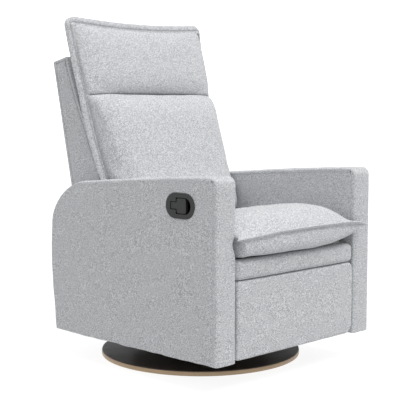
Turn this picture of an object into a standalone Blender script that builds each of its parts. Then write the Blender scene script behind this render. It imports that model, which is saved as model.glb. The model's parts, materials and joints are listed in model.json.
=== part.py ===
"""Swivel glider recliner for a nursery, built as separate named parts on real joints.

Metres, +Z up. The sitter faces -Y and the sitter's right arm, which holds the release handle, is at -X.
The origin is on the floor, on the swivel's axis. Every moving body hangs from an empty on its joint's axis.
"""

from math import ceil, cos, pi, radians, sin, sqrt

import bmesh
import bpy
from mathutils import Matrix, Vector

# ---------------------------------------------------------------- driving dimensions
TOUCH = 0.0003  # gap between faces that bear on each other
PIN_FIT = 0.0005  # radial clearance of a pin in its hole
ROUND_SIDES = 20  # facets of a small pin or hole

# base on the floor
BASE_RADIUS = 0.310
BASE_THICK = 0.0125
BASE_COVER_THICK = 0.002
BASE_COVER_SETBACK = 0.001
FOOT_PAD_THICK = 0.003
FOOT_PAD_SETBACK = 0.012  # from the disc's edge

# swivel bearing
RACE_INNER = 0.050
RACE_OUTER = 0.085
RACE_THICK = 0.006
BALL_RING_INNER = 0.061
BALL_RING_OUTER = 0.074
BALL_RING_THICK = 0.005
SWIVEL_PLATE_THICK = 0.004
SWIVEL_BOLT_RADIUS = 0.008

# glider: four links hang from the uprights and carry the carriage
GLIDER_PIVOT_Z = 0.250
GLIDER_LINK_LENGTH = 0.130
GLIDER_LINK_SPREAD = 0.125  # front and rear pivots are this far from the swivel's axis
GLIDER_LINK_HALF_WIDTH = 0.0125
GLIDER_LINK_THICK = 0.005
UPRIGHT_X = 0.150  # inner face of each upright
UPRIGHT_THICK = 0.004
PLATE_GAP = 0.0015  # between a link and the plate beside it
GLIDER_PIN_RADIUS = 0.005
CARRIAGE_TUBE_RADIUS = 0.0125
CARRIAGE_TUBE_RISE = 0.025  # above the upper pivots
CARRIAGE_TUBE_FRONT_Y = -0.165
CARRIAGE_TUBE_REAR_Y = 0.165
CARRIAGE_MARGIN = 0.004  # of plate above its tubes

# chair body
SEAT_WIDTH = 0.525  # between the arms
ARM_THICK = 0.075
ARM_FRONT_Y = -0.395
ARM_REAR_Y = 0.298  # at the floor end of the rear edge
ARM_REAR_BULGE = 0.018
ARM_TOP_FRONT_Z = 0.588
ARM_TOP_REAR_Z = 0.536
ARM_FRONT_ROUND = 0.020
ARM_REAR_ROUND = 0.115
ARM_WALL = 0.015
ARM_BOARD_THICK = 0.018
BODY_BOTTOM_Z = 0.085
SEAT_DECK_Z = 0.360
SEAT_RAIL_DEPTH = 0.095
SEAT_RAIL_THICK = 0.0176
RAIL_END_GAP = 0.012  # from the rear rail to the back's knuckle
CROSS_RAIL_THICK = 0.022
CROSS_RAIL_DEPTH = 0.032
SPRING_WIRE = 0.0018
SPRING_COUNT = 4
SPRING_PITCH = 0.105
SPRING_SWAY = 0.024
SPRING_BENDS = 10

# seat cushion
CUSHION_SIDE_GAP = 0.004
SEAT_CUSHION_PROUD = 0.020  # in front of the arms
SEAT_TO_BACK = 0.008  # between the seat cushion and the back cushion
SEAT_TAIL_GAP = 0.040  # between the seat cushion's tail and the back's knuckle
SEAT_CUSHION_THICK = 0.126
SEAT_CUSHION_RISE = 0.006  # above the seat deck
SEAT_EAR_REACH = 0.036  # how far the welted front corners pass in front of the arms
SEAT_EAR_RISE = 0.046  # above the cushion's underside
SEAT_EAR_THICK = 0.022

# footrest
FOOTREST_PROUD = 0.003  # in front of the arms
FOOTREST_PAD_THICK = 0.0407
FOOTREST_BOARD_THICK = 0.012
FOOTREST_BOARD_INSET = 0.012
FOOTREST_TOP_GAP = 0.007  # under the seat cushion
FOOTREST_ROLL_HEIGHT = 0.0555
FOOTREST_BOTTOM_RISE = 0.002  # above the arms' underside
FOOTREST_SIDE_GAP = 0.0045
ROLL_END_SETBACK = 0.010

# footrest linkage, two parallelograms on each side
MAIN_PIVOT_SETBACK = 0.055  # behind the board
MAIN_PIVOT_DROP = 0.055  # below the seat deck
MAIN_LINK_LENGTH = 0.215
MAIN_LINK_TILT = 25.0  # degrees back from straight down when folded
GUIDE_OFFSET = -0.070  # the guide link's pivot from the main link's
BRACKET_SETBACK = 0.050  # the bracket's lower pivot behind the board
BRACKET_DROP = 0.060  # and below the main pivot
BRACKET_SPAN = 0.070
BRACKET_FOOT_WIDTH = 0.022
LINK_HALF_WIDTH = 0.011
LINK_THICK = 0.003
LINK_PIN_RADIUS = 0.004
LINK_PITCH = 0.005  # from one plane of links to the next
DRIVE_TUBE_RADIUS = 0.010
DRIVE_TUBE_DROP = 0.030  # along the main links from their pivot
RECLINER_PLATE_DROP = 0.030  # of its top edge below the seat deck
RECLINER_PLATE_MARGIN = 0.022  # of plate about its end pivots

# back
BACK_LEAN = 12.0
BACK_REAR_INSET = 0.009  # of the knuckle from the arms' rear edge
KNUCKLE_RADIUS = 0.069
KNUCKLE_GAP = 0.0115  # over the carriage plates
BACK_SHELL_TOP = 0.568  # along the back from its pivot
BACK_SHELL_WALL = 0.014
BACK_SIDE_GAP = 0.0055
BACK_FRONT_LOW_AT = 0.050  # the shell's front edge starts this far along the back
BACK_FRONT_LOW = 0.123  # how far the edge is ahead of the pivot's line there
BACK_FRONT_SEAM = 0.029  # and at the headrest's seam
BACK_FRONT_TOP = 0.005  # and at the shell's top
BACK_CUSHION_LOW = 0.030
BACK_SEAM = 0.426  # along the back, where the headrest is sewn on
BACK_CUSHION_FRONT_LOW = 0.205
BACK_CUSHION_FRONT_TOP = 0.105
HEADREST_RISE = 0.104  # above the shell
HEADREST_HALF_WIDTH = 0.285
HEADREST_FRONT = 0.118
BACK_STILE_WIDTH = 0.026
BACK_STILE_THICK = 0.022
BACK_BRACKET_HALF_WIDTH = 0.011
BACK_PIN_RADIUS = 0.006

REAR_PANEL_THICK = 0.016
REAR_PANEL_INSET = 0.010  # from the arms' rear edge
REAR_PANEL_GAP = 0.008  # below the back's knuckle
REAR_PANEL_RISE = 0.015  # above the arms' underside

# release handle
HANDLE_Y = -0.2605
HANDLE_Z = 0.504
BEZEL_LENGTH = 0.111
BEZEL_HEIGHT = 0.070
BEZEL_PROUD = 0.0025
BEZEL_RIM = 0.006
CUP_DEPTH = 0.034
CUP_WALL = 0.003
RECESS_LENGTH = 0.058
RECESS_HEIGHT = 0.045
STEM_LENGTH = 0.020
STEM_HEIGHT = 0.018
PADDLE_LENGTH = 0.036
PADDLE_THICK = 0.009
PADDLE_GAP = 0.002
HANDLE_PIN_RADIUS = 0.0025
HANDLE_PIN_SETBACK = 0.005  # from the stem's rear end
PADDLE_SINK = 0.001
CABLE_RADIUS = 0.0025
CABLE_HOLE_RADIUS = 0.007
CABLE_HOLE_Y = -0.120
CABLE_HOLE_DROP = 0.015  # below the seat deck
LATCH_Y = -0.060
LATCH_LENGTH = 0.045

# ---------------------------------------------------------------- derived places
INNER_X = SEAT_WIDTH / 2
OUTER_X = INNER_X + ARM_THICK
COVER_TOP_Z = FOOT_PAD_THICK + TOUCH + BASE_THICK + TOUCH + BASE_COVER_THICK
LOWER_RACE_Z = COVER_TOP_Z + TOUCH
BALL_RING_Z = LOWER_RACE_Z + RACE_THICK + TOUCH
UPPER_RACE_Z = BALL_RING_Z + BALL_RING_THICK + TOUCH
SWIVEL_PLATE_Z = UPPER_RACE_Z + RACE_THICK + TOUCH
UPRIGHT_BOTTOM_Z = SWIVEL_PLATE_Z + SWIVEL_PLATE_THICK + TOUCH
CARRIAGE_PIVOT_Z = GLIDER_PIVOT_Z - GLIDER_LINK_LENGTH
CARRIAGE_TUBE_Z = GLIDER_PIVOT_Z + CARRIAGE_TUBE_RISE
CARRIAGE_TOP_Z = CARRIAGE_TUBE_Z + CARRIAGE_TUBE_RADIUS + CARRIAGE_MARGIN
GLIDER_LINK_X = UPRIGHT_X + UPRIGHT_THICK + PLATE_GAP
CARRIAGE_X = GLIDER_LINK_X + GLIDER_LINK_THICK + PLATE_GAP
SEAT_RAIL_X = INNER_X - TOUCH - SEAT_RAIL_THICK
RECLINER_X = SEAT_RAIL_X - 2 * TOUCH - LINK_THICK
UPPER_ARM_X = RECLINER_X - LINK_PITCH
MAIN_LINK_X = UPPER_ARM_X - LINK_PITCH
LOWER_ARM_X = MAIN_LINK_X - LINK_PITCH
BACK_BRACKET_X = RECLINER_X - LINK_PITCH - LINK_THICK
BACK_HALF_WIDTH = INNER_X - BACK_SIDE_GAP
SEAT_CUSHION_FRONT_Y = ARM_FRONT_Y - SEAT_CUSHION_PROUD
SEAT_CUSHION_BOTTOM_Z = SEAT_DECK_Z + SEAT_CUSHION_RISE
SEAT_CUSHION_TOP_Z = SEAT_CUSHION_BOTTOM_Z + SEAT_CUSHION_THICK
SEAT_EAR_Z = SEAT_CUSHION_BOTTOM_Z + SEAT_EAR_RISE
FOOTREST_FACE = FOOTREST_PROUD - ARM_FRONT_Y  # in front of the swivel's axis, as are the next ones
FOOTREST_BOARD_FRONT = FOOTREST_FACE - FOOTREST_PAD_THICK - TOUCH
FOOTREST_BOARD_BACK = FOOTREST_BOARD_FRONT - FOOTREST_BOARD_THICK
FOOTREST_TOP_Z = SEAT_CUSHION_BOTTOM_Z - FOOTREST_TOP_GAP
FOOTREST_SEAM_Z = FOOTREST_TOP_Z - FOOTREST_ROLL_HEIGHT
FOOTREST_BOTTOM_Z = BODY_BOTTOM_Z + FOOTREST_BOTTOM_RISE
MAIN_PIVOT = (FOOTREST_BOARD_BACK - MAIN_PIVOT_SETBACK, SEAT_DECK_Z - MAIN_PIVOT_DROP)
BRACKET_PIVOT = (FOOTREST_BOARD_BACK - BRACKET_SETBACK, MAIN_PIVOT[1] - BRACKET_DROP)
RECLINER_PLATE_BOTTOM = CARRIAGE_TUBE_Z - CARRIAGE_TUBE_RADIUS - CARRIAGE_MARGIN
RECLINER_PLATE_TOP = SEAT_DECK_Z - RECLINER_PLATE_DROP
RECLINER_MIDDLE_Z = (RECLINER_PLATE_BOTTOM + RECLINER_PLATE_TOP) / 2
BACK_PIVOT = (ARM_REAR_Y - BACK_REAR_INSET - KNUCKLE_RADIUS, CARRIAGE_TOP_Z + KNUCKLE_GAP + KNUCKLE_RADIUS)
HEADREST_TOP = BACK_SHELL_TOP + HEADREST_RISE
REAR_PANEL_BACK_Y = ARM_REAR_Y - REAR_PANEL_INSET
REAR_PANEL_FRONT_Y = REAR_PANEL_BACK_Y - REAR_PANEL_THICK
CABLE_HOLE_Z = SEAT_DECK_Z - CABLE_HOLE_DROP

COLOURS = {
    "grey_fabric": ((0.56, 0.57, 0.59), 0.95, 0.0),
    "base_wood": ((0.56, 0.38, 0.23), 0.55, 0.0),
    "frame_wood": ((0.70, 0.55, 0.36), 0.75, 0.0),
    "black_steel": ((0.025, 0.024, 0.023), 0.45, 0.6),
    "zinc_steel": ((0.55, 0.56, 0.58), 0.35, 1.0),
    "black_plastic": ((0.035, 0.036, 0.038), 0.5, 0.0),
    "felt": ((0.10, 0.10, 0.10), 0.95, 0.0),
}


# ---------------------------------------------------------------- shape helpers
def material(name):
    """The named finish, made once."""
    found = bpy.data.materials.get(name)
    if found:
        return found
    colour, roughness, metallic = COLOURS[name]
    made = bpy.data.materials.new(name)
    made.use_nodes = True
    shader = made.node_tree.nodes["Principled BSDF"]
    shader.inputs["Base Color"].default_value = (*colour, 1)
    shader.inputs["Roughness"].default_value = roughness
    shader.inputs["Metallic"].default_value = metallic
    made.diffuse_color = (*colour, 1)
    return made


def pivot(name, at, parent=None):
    """An empty on a joint's axis. The pieces of its body are placed from it."""
    empty = bpy.data.objects.new("pivot_" + name, None)
    bpy.context.scene.collection.objects.link(empty)
    empty["world"] = at
    empty.parent = parent
    empty.location = Vector(at) - (Vector(parent["world"]) if parent else Vector())
    return empty


def finish(bm, name, body, finish_name):
    """Turns world-space geometry into a named object placed from its body's empty."""
    bmesh.ops.recalc_face_normals(bm, faces=bm.faces)
    origin = Vector(body["world"])
    bmesh.ops.translate(bm, verts=bm.verts, vec=-origin)
    mesh = bpy.data.meshes.new(name)
    bm.to_mesh(mesh)
    bm.free()
    mesh.materials.append(material(finish_name))
    mesh.shade_smooth()
    mesh.set_sharp_from_angle(angle=radians(35))
    made = bpy.data.objects.new(name, mesh)
    bpy.context.scene.collection.objects.link(made)
    made.parent = body
    return made


def extruded(outline, axis, start, end):
    """A closed prism of an outline. Along X the outline is (y, z) and along Z it is (x, y)."""
    bm = bmesh.new()
    if axis == "X":
        points = [(start, a, b) for a, b in outline]
        step = Vector((end - start, 0, 0))
    else:
        points = [(a, b, start) for a, b in outline]
        step = Vector((0, 0, end - start))
    face = bm.faces.new([bm.verts.new(p) for p in points])
    moved = bmesh.ops.extrude_face_region(bm, geom=[face])["geom"]
    bmesh.ops.translate(bm, verts=[v for v in moved if isinstance(v, bmesh.types.BMVert)], vec=step)
    bmesh.ops.recalc_face_normals(bm, faces=bm.faces)
    return bm


def box(low, high):
    """A closed box between two corners."""
    outline = [(low[1], low[2]), (high[1], low[2]), (high[1], high[2]), (low[1], high[2])]
    return extruded(outline, "X", low[0], high[0])


def rounded_box(low, high, radius, segments=3):
    """A box with every edge rounded."""
    bm = box(low, high)
    bmesh.ops.bevel(bm, geom=bm.edges[:], offset=radius, segments=segments, profile=0.5, affect="EDGES")
    return bm


def cylinder(centre, radius, length, axis, sides=ROUND_SIDES):
    """A closed cylinder about an axis, centred on a point."""
    bm = bmesh.new()
    turn = {"X": Matrix.Rotation(pi / 2, 4, "Y"), "Z": Matrix.Identity(4)}[axis]
    bmesh.ops.create_cone(
        bm,
        cap_ends=True,
        segments=sides,
        radius1=radius,
        radius2=radius,
        depth=length,
        matrix=Matrix.Translation(centre) @ turn,
    )
    return bm


def ring(inner, outer, low, high, sides=48):
    """A flat ring about the swivel's axis, spun from its rectangular section."""
    bm = bmesh.new()
    section = [(inner, low), (outer, low), (outer, high), (inner, high)]
    verts = [bm.verts.new((r, 0, z)) for r, z in section]
    edges = [bm.edges.new((verts[i], verts[i - 1])) for i in range(len(verts))]
    bmesh.ops.spin(
        bm,
        geom=verts + edges,
        cent=(0, 0, 0),
        axis=(0, 0, 1),
        angle=2 * pi,
        steps=sides,
        use_merge=True,
    )
    bmesh.ops.remove_doubles(bm, verts=bm.verts, dist=1e-6)
    return bm


def combine(bm, others, operation):
    """Joins other closed shapes to this one, or cuts them from it, one at a time."""
    mesh = bpy.data.meshes.new("blank")
    bm.to_mesh(mesh)
    bm.free()
    blank = bpy.data.objects.new("blank", mesh)
    bpy.context.scene.collection.objects.link(blank)
    tools = []
    for other in others:
        bmesh.ops.recalc_face_normals(other, faces=other.faces)
        tool_mesh = bpy.data.meshes.new("tool")
        other.to_mesh(tool_mesh)
        other.free()
        tool = bpy.data.objects.new("tool", tool_mesh)
        bpy.context.scene.collection.objects.link(tool)
        tools.append(tool)
        modifier = blank.modifiers.new("combine", "BOOLEAN")
        modifier.operation = operation
        modifier.solver = "EXACT"
        modifier.object = tool
    bpy.context.view_layer.update()
    evaluated = blank.evaluated_get(bpy.context.evaluated_depsgraph_get())
    result = bmesh.new()
    result.from_mesh(evaluated.to_mesh())
    evaluated.to_mesh_clear()
    for used in [blank, *tools]:
        used_mesh = used.data
        bpy.data.objects.remove(used)
        bpy.data.meshes.remove(used_mesh)
    return result


def cut(bm, *tools):
    return combine(bm, tools, "DIFFERENCE")


def join(bm, *pieces):
    return combine(bm, pieces, "UNION")


def arc(centre, radius, start, end, steps):
    """Points of an arc, angles in degrees from the outline's first axis towards its second."""
    angles = [radians(start + (end - start) * i / steps) for i in range(steps + 1)]
    return [(centre[0] + radius * cos(a), centre[1] + radius * sin(a)) for a in angles]


def stadium(p, q, radius, steps=8):
    """The outline of a plate with round ends about two points."""
    along = (Vector(q) - Vector(p)).normalized()
    heading = Vector((1, 0)).angle_signed(along) if along.length else 0
    heading = -heading * 180 / pi
    far_end = arc(q, radius, heading - 90, heading + 90, steps)
    return far_end + arc(p, radius, heading + 90, heading + 270, steps)


def slab(outline, inner_x, thickness, side):
    """A plate standing in the Y-Z plane. Side is -1 for the sitter's right and 1 for the left."""
    return extruded(outline, "X", side * inner_x, side * (inner_x + thickness))


def pin(at, radius, inner_x, outer_x, side):
    """A pivot pin along X at (y, z), between two distances from the middle."""
    centre = (side * (inner_x + outer_x) / 2, at[0], at[1])
    return cylinder(centre, radius, outer_x - inner_x, "X")


def ahead(point):
    """A point given as (distance in front of the swivel's axis, height) as (y, z)."""
    return (-point[0], point[1])


def on_back(along, forward):
    """(y, z) of a point given along the leaning back from its pivot, and forward of that line."""
    lean = radians(BACK_LEAN)
    return (
        BACK_PIVOT[0] + along * sin(lean) - forward * cos(lean),
        BACK_PIVOT[1] + along * cos(lean) + forward * sin(lean),
    )


def side_name(side):
    return "right" if side < 0 else "left"


# ---------------------------------------------------------------- base and swivel
def build_base(body):
    """The round floor plate with its pads, and the fixed half of the bearing."""
    foot = cylinder((0, 0, FOOT_PAD_THICK / 2), BASE_RADIUS - FOOT_PAD_SETBACK, FOOT_PAD_THICK, "Z", 64)
    finish(foot, "base_foot_pad", body, "felt")
    disc_z = FOOT_PAD_THICK + TOUCH
    disc = cylinder((0, 0, disc_z + BASE_THICK / 2), BASE_RADIUS, BASE_THICK, "Z", 96)
    finish(disc, "base_disc", body, "base_wood")
    cover_z = disc_z + BASE_THICK + TOUCH
    cover_radius = BASE_RADIUS - BASE_COVER_SETBACK
    cover = cylinder((0, 0, cover_z + BASE_COVER_THICK / 2), cover_radius, BASE_COVER_THICK, "Z", 96)
    finish(cover, "base_top_plate", body, "black_steel")
    lower = ring(RACE_INNER, RACE_OUTER, LOWER_RACE_Z, LOWER_RACE_Z + RACE_THICK)
    finish(lower, "bearing_lower_race", body, "zinc_steel")
    balls = ring(BALL_RING_INNER, BALL_RING_OUTER, BALL_RING_Z, BALL_RING_Z + BALL_RING_THICK)
    finish(balls, "bearing_ball_ring", body, "zinc_steel")
    head_z = UPRIGHT_BOTTOM_Z + TOUCH
    shaft_length = head_z + 0.001 - LOWER_RACE_Z
    shaft = cylinder((0, 0, LOWER_RACE_Z + shaft_length / 2), SWIVEL_BOLT_RADIUS, shaft_length, "Z")
    head = cylinder((0, 0, head_z + 0.005), 2 * SWIVEL_BOLT_RADIUS, 0.010, "Z", 6)
    finish(join(shaft, head), "swivel_bolt", body, "zinc_steel")


def build_swivel(body):
    """The turning half of the bearing and the plate and uprights that the glider hangs from."""
    upper = ring(RACE_INNER, RACE_OUTER, UPPER_RACE_Z, UPPER_RACE_Z + RACE_THICK)
    finish(upper, "bearing_upper_race", body, "zinc_steel")
    half_x = UPRIGHT_X + UPRIGHT_THICK
    half_y = GLIDER_LINK_SPREAD + GLIDER_LINK_HALF_WIDTH + 0.010
    plate = box((-half_x, -half_y, SWIVEL_PLATE_Z), (half_x, half_y, SWIVEL_PLATE_Z + SWIVEL_PLATE_THICK))
    bolt_hole = cylinder((0, 0, SWIVEL_PLATE_Z), SWIVEL_BOLT_RADIUS + PIN_FIT, 0.040, "Z")
    finish(cut(plate, bolt_hole), "swivel_plate", body, "black_steel")
    for side in (-1, 1):
        top_half_y = GLIDER_LINK_SPREAD + GLIDER_LINK_HALF_WIDTH
        top_z = GLIDER_PIVOT_Z + GLIDER_LINK_HALF_WIDTH
        foot_corners = [(-half_y, UPRIGHT_BOTTOM_Z), (half_y, UPRIGHT_BOTTOM_Z)]
        outline = foot_corners + [(top_half_y, top_z), (-top_half_y, top_z)]
        upright = slab(outline, UPRIGHT_X, UPRIGHT_THICK, side)
        pins = [
            pin((y, GLIDER_PIVOT_Z), GLIDER_PIN_RADIUS, UPRIGHT_X + 0.001, CARRIAGE_X - PLATE_GAP / 2, side)
            for y in (-GLIDER_LINK_SPREAD, GLIDER_LINK_SPREAD)
        ]
        finish(join(upright, *pins), f"glider_upright_{side_name(side)}", body, "black_steel")


def build_glider_link(body, end_name, y, side):
    """One hanging link, with a hole at each end."""
    ends = ((y, GLIDER_PIVOT_Z), (y, CARRIAGE_PIVOT_Z))
    link = slab(stadium(*ends, GLIDER_LINK_HALF_WIDTH), GLIDER_LINK_X, GLIDER_LINK_THICK, side)
    hole_radius = GLIDER_PIN_RADIUS + PIN_FIT
    holes = [pin(end, hole_radius, GLIDER_LINK_X - 0.01, GLIDER_LINK_X + 0.02, side) for end in ends]
    finish(cut(link, *holes), f"glider_link_{end_name}_{side_name(side)}", body, "zinc_steel")


def build_carriage(body):
    """The plates and cross tubes that hang on the links and carry the chair."""
    tube_half = RECLINER_X - TOUCH
    tube_ys = (CARRIAGE_TUBE_FRONT_Y, CARRIAGE_TUBE_REAR_Y)
    for side in (-1, 1):
        low_z = CARRIAGE_PIVOT_Z - GLIDER_LINK_HALF_WIDTH
        high_z = CARRIAGE_TOP_Z
        front_y = min(tube_ys[0], -GLIDER_LINK_SPREAD) - 0.024
        rear_y = max(tube_ys[1], GLIDER_LINK_SPREAD) + 0.024
        outline = [(front_y, high_z), (front_y, low_z), (rear_y, low_z), (rear_y, high_z)]
        plate = slab(outline, CARRIAGE_X, UPRIGHT_THICK, side)
        tube_radius = CARRIAGE_TUBE_RADIUS + TOUCH
        seats = [
            pin((y, CARRIAGE_TUBE_Z), tube_radius, CARRIAGE_X - 0.01, CARRIAGE_X + 0.02, side)
            for y in tube_ys
        ]
        inner_end = GLIDER_LINK_X - PLATE_GAP / 2
        pins = [
            pin((y, CARRIAGE_PIVOT_Z), GLIDER_PIN_RADIUS, inner_end, CARRIAGE_X + 0.001, side)
            for y in (-GLIDER_LINK_SPREAD, GLIDER_LINK_SPREAD)
        ]
        finish(join(cut(plate, *seats), *pins), f"carriage_plate_{side_name(side)}", body, "black_steel")
    for name, y in zip(("front", "rear"), tube_ys):
        tube = cylinder((0, y, CARRIAGE_TUBE_Z), CARRIAGE_TUBE_RADIUS, 2 * tube_half, "X")
        finish(tube, f"carriage_tube_{name}", body, "black_steel")


# ---------------------------------------------------------------- chair body
def arm_outline(inset=0.0, bottom=None):
    """The arm's side outline: straight front, top falling to the rear, large rear corner, bowed rear edge."""
    front = ARM_FRONT_Y + inset
    low = BODY_BOTTOM_Z if bottom is None else bottom
    top_front = ARM_TOP_FRONT_Z - inset
    top_rear = ARM_TOP_REAR_Z - inset
    rear = ARM_REAR_Y + ARM_REAR_BULGE - inset
    big = ARM_REAR_ROUND - inset
    small = max(ARM_FRONT_ROUND - inset, 0.002)
    fall = (top_front - top_rear) / (rear - big - front)
    points = [(front, low)]
    points += [(y, z) for y, z in arc((front + small, top_front - small), small, 180, 90, 4)]
    bow = 6
    run = rear - big - (front + small)
    for i in range(1, bow):
        share = i / bow
        crown = 0.006 * sin(pi * share)
        points.append((front + small + run * share, top_front - fall * run * share + crown))
    points += arc((rear - big, top_rear - big), big, 86, 8, 6)
    bulge_steps = 4
    waist = top_rear - big
    for i in range(1, bulge_steps + 1):
        share = i / bulge_steps
        pull = ARM_REAR_BULGE * share * share
        points.append((rear - pull, waist + (low - waist) * share))
    return points


def handle_outline(length, height, centre_y=HANDLE_Y):
    """A flat-sided oval in (y, z) about the handle's centre."""
    radius = height / 2
    reach = (length - height) / 2
    return stadium((centre_y - reach, HANDLE_Z), (centre_y + reach, HANDLE_Z), radius, 10)


def cable_hole():
    """The round way that the cable takes from the arm into the seat."""
    outer = -INNER_X - ARM_WALL - ARM_BOARD_THICK - 0.01
    inner = -SEAT_RAIL_X + 0.01
    middle = ((outer + inner) / 2, CABLE_HOLE_Y, CABLE_HOLE_Z)
    return cylinder(middle, CABLE_HOLE_RADIUS, inner - outer, "X")


def build_arm(body, side):
    """A padded cover, open underneath, over a plywood board that stands along its inner wall."""
    cover = slab(arm_outline(), INNER_X, ARM_THICK, side)
    hollow_low = BODY_BOTTOM_Z - 0.02
    hollow = slab(arm_outline(ARM_WALL, hollow_low), INNER_X + ARM_WALL, ARM_THICK - 2 * ARM_WALL, side)
    board_outline = arm_outline(ARM_WALL + TOUCH, BODY_BOTTOM_Z + 0.004)
    board = slab(board_outline, INNER_X + ARM_WALL + TOUCH, ARM_BOARD_THICK, side)
    cover = cut(cover, hollow)
    if side < 0:
        opening = handle_outline(BEZEL_LENGTH - 2 * BEZEL_RIM, BEZEL_HEIGHT - 2 * BEZEL_RIM)
        mouth = slab(opening, OUTER_X - ARM_WALL - 0.005, ARM_WALL + 0.02, side)
        cover = cut(cover, mouth, cable_hole())
        board = cut(board, cable_hole())
    finish(cover, f"arm_cover_{side_name(side)}", body, "grey_fabric")
    finish(board, f"arm_board_{side_name(side)}", body, "frame_wood")


def build_seat_frame(body):
    """Wooden rails round the seat, joined by a zigzag spring."""
    front = FOOTREST_BOARD_BACK - 0.005
    rear = KNUCKLE_RADIUS - BACK_PIVOT[0] + RAIL_END_GAP
    outer = INNER_X - TOUCH
    for side in (-1, 1):
        low = (side * SEAT_RAIL_X, -front, SEAT_DECK_Z - SEAT_RAIL_DEPTH)
        high = (side * outer, -rear, SEAT_DECK_Z)
        rail = box(tuple(map(min, low, high)), tuple(map(max, low, high)))
        if side < 0:
            rail = cut(rail, cable_hole())
        finish(rail, f"seat_rail_{side_name(side)}", body, "frame_wood")
    half = RECLINER_X - TOUCH
    low_z = SEAT_DECK_Z - CROSS_RAIL_DEPTH
    for name, y in (("front", -front), ("rear", -rear - CROSS_RAIL_THICK)):
        rail = box((-half, y, low_z), (half, y + CROSS_RAIL_THICK, SEAT_DECK_Z))
        finish(rail, f"seat_{name}_rail", body, "frame_wood")
    build_seat_springs(body, -front + CROSS_RAIL_THICK, -rear - CROSS_RAIL_THICK)


def wire(name, body, places, radius, bevel, finish_name):
    """A round wire along a list of places, as a curve with capped ends."""
    curve = bpy.data.curves.new(name, "CURVE")
    curve.dimensions = "3D"
    curve.bevel_depth = radius
    curve.bevel_resolution = bevel
    curve.use_fill_caps = True
    spline = curve.splines.new("POLY")
    spline.points.add(len(places) - 1)
    for point, place in zip(spline.points, places):
        point.co = (*(Vector(place) - Vector(body["world"])), 1)
    curve.materials.append(material(finish_name))
    made = bpy.data.objects.new(name, curve)
    bpy.context.scene.collection.objects.link(made)
    made.parent = body


def build_seat_springs(body, front_y, rear_y):
    """Sinuous wire springs side by side, each zigzagging from the front rail to the rear rail."""
    z = SEAT_DECK_Z - 3 * SPRING_WIRE
    start, end = front_y + SPRING_WIRE + TOUCH, rear_y - SPRING_WIRE - TOUCH
    for i in range(SPRING_COUNT):
        x = (i - (SPRING_COUNT - 1) / 2) * SPRING_PITCH
        places = [(x, start, z)]
        for bend in range(1, SPRING_BENDS):
            y = start + (end - start) * bend / SPRING_BENDS
            swing = SPRING_SWAY if bend % 2 else -SPRING_SWAY
            places += [(x - swing, y, z), (x + swing, y, z)]
        places.append((x, end, z))
        wire(f"seat_spring_{i + 1}", body, places, SPRING_WIRE, 1, "zinc_steel")


def build_recliner_plates(body):
    """Steel side plates that hold the footrest's pivots and the back's hinge pins."""
    guide = (MAIN_PIVOT[0] + GUIDE_OFFSET, MAIN_PIVOT[1])
    margin = RECLINER_PLATE_MARGIN
    front_y = -MAIN_PIVOT[0] - margin
    for side in (-1, 1):
        outline = [
            (front_y, RECLINER_PLATE_BOTTOM),
            (CARRIAGE_TUBE_REAR_Y + margin, RECLINER_PLATE_BOTTOM),
            (BACK_PIVOT[0] - margin / 2, RECLINER_MIDDLE_Z),
            *arc(BACK_PIVOT, margin, -40, 150, 10),
            (BACK_PIVOT[0] - 4 * margin, RECLINER_PLATE_TOP),
            (front_y, RECLINER_PLATE_TOP),
        ]
        plate = slab(outline, RECLINER_X, LINK_THICK, side)
        footrest_pins = [
            pin(ahead(at), LINK_PIN_RADIUS, MAIN_LINK_X - PLATE_GAP / 2, RECLINER_X + 0.001, side)
            for at in (MAIN_PIVOT, guide)
        ]
        hinge_pin = pin(BACK_PIVOT, BACK_PIN_RADIUS, BACK_BRACKET_X - PLATE_GAP, RECLINER_X + 0.001, side)
        latch_at, latch_end = (LATCH_Y, RECLINER_MIDDLE_Z), UPPER_ARM_X - PLATE_GAP / 2
        latch_pin = pin(latch_at, LINK_PIN_RADIUS, latch_end, RECLINER_X + 0.001, side)
        pins = footrest_pins + [hinge_pin] + ([latch_pin] if side < 0 else [])
        finish(join(plate, *pins), f"recliner_plate_{side_name(side)}", body, "zinc_steel")


def build_seat_cushion(body):
    """A cushion with a low tail under the back, and a front welt whose corners pass in front of the arms."""
    half = INNER_X - CUSHION_SIDE_GAP
    back_low = on_back(BACK_CUSHION_LOW, BACK_CUSHION_FRONT_LOW)
    back_high = on_back(BACK_SEAM, BACK_CUSHION_FRONT_TOP)
    share = (SEAT_CUSHION_TOP_Z - back_low[1]) / (back_high[1] - back_low[1])
    top_rear_y = back_low[0] + (back_high[0] - back_low[0]) * share - SEAT_TO_BACK
    tail_z = on_back(BACK_CUSHION_LOW, back_front(BACK_CUSHION_LOW))[1] - SEAT_TO_BACK
    tail_y = BACK_PIVOT[0] - KNUCKLE_RADIUS - SEAT_TAIL_GAP
    outline = [
        (SEAT_CUSHION_FRONT_Y, SEAT_CUSHION_BOTTOM_Z),
        (tail_y, SEAT_CUSHION_BOTTOM_Z),
        (tail_y, tail_z),
        (back_low[0] - SEAT_TO_BACK, back_low[1] - SEAT_TO_BACK),
        (top_rear_y, SEAT_CUSHION_TOP_Z),
        (SEAT_CUSHION_FRONT_Y, SEAT_CUSHION_TOP_Z),
    ]
    block = extruded(outline, "X", -half, half)
    bmesh.ops.bevel(block, geom=block.edges[:], offset=0.012, segments=3, profile=0.5, affect="EDGES")
    ear_x = INNER_X + SEAT_EAR_REACH
    ear_y = (SEAT_CUSHION_FRONT_Y - 0.005, ARM_FRONT_Y - 0.003)
    ear_z = (SEAT_EAR_Z - SEAT_EAR_THICK / 2, SEAT_EAR_Z + SEAT_EAR_THICK / 2)
    ears = rounded_box((-ear_x, ear_y[0], ear_z[0]), (ear_x, ear_y[1], ear_z[1]), 0.005, 2)
    finish(join(block, ears), "seat_cushion", body, "grey_fabric")


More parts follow.
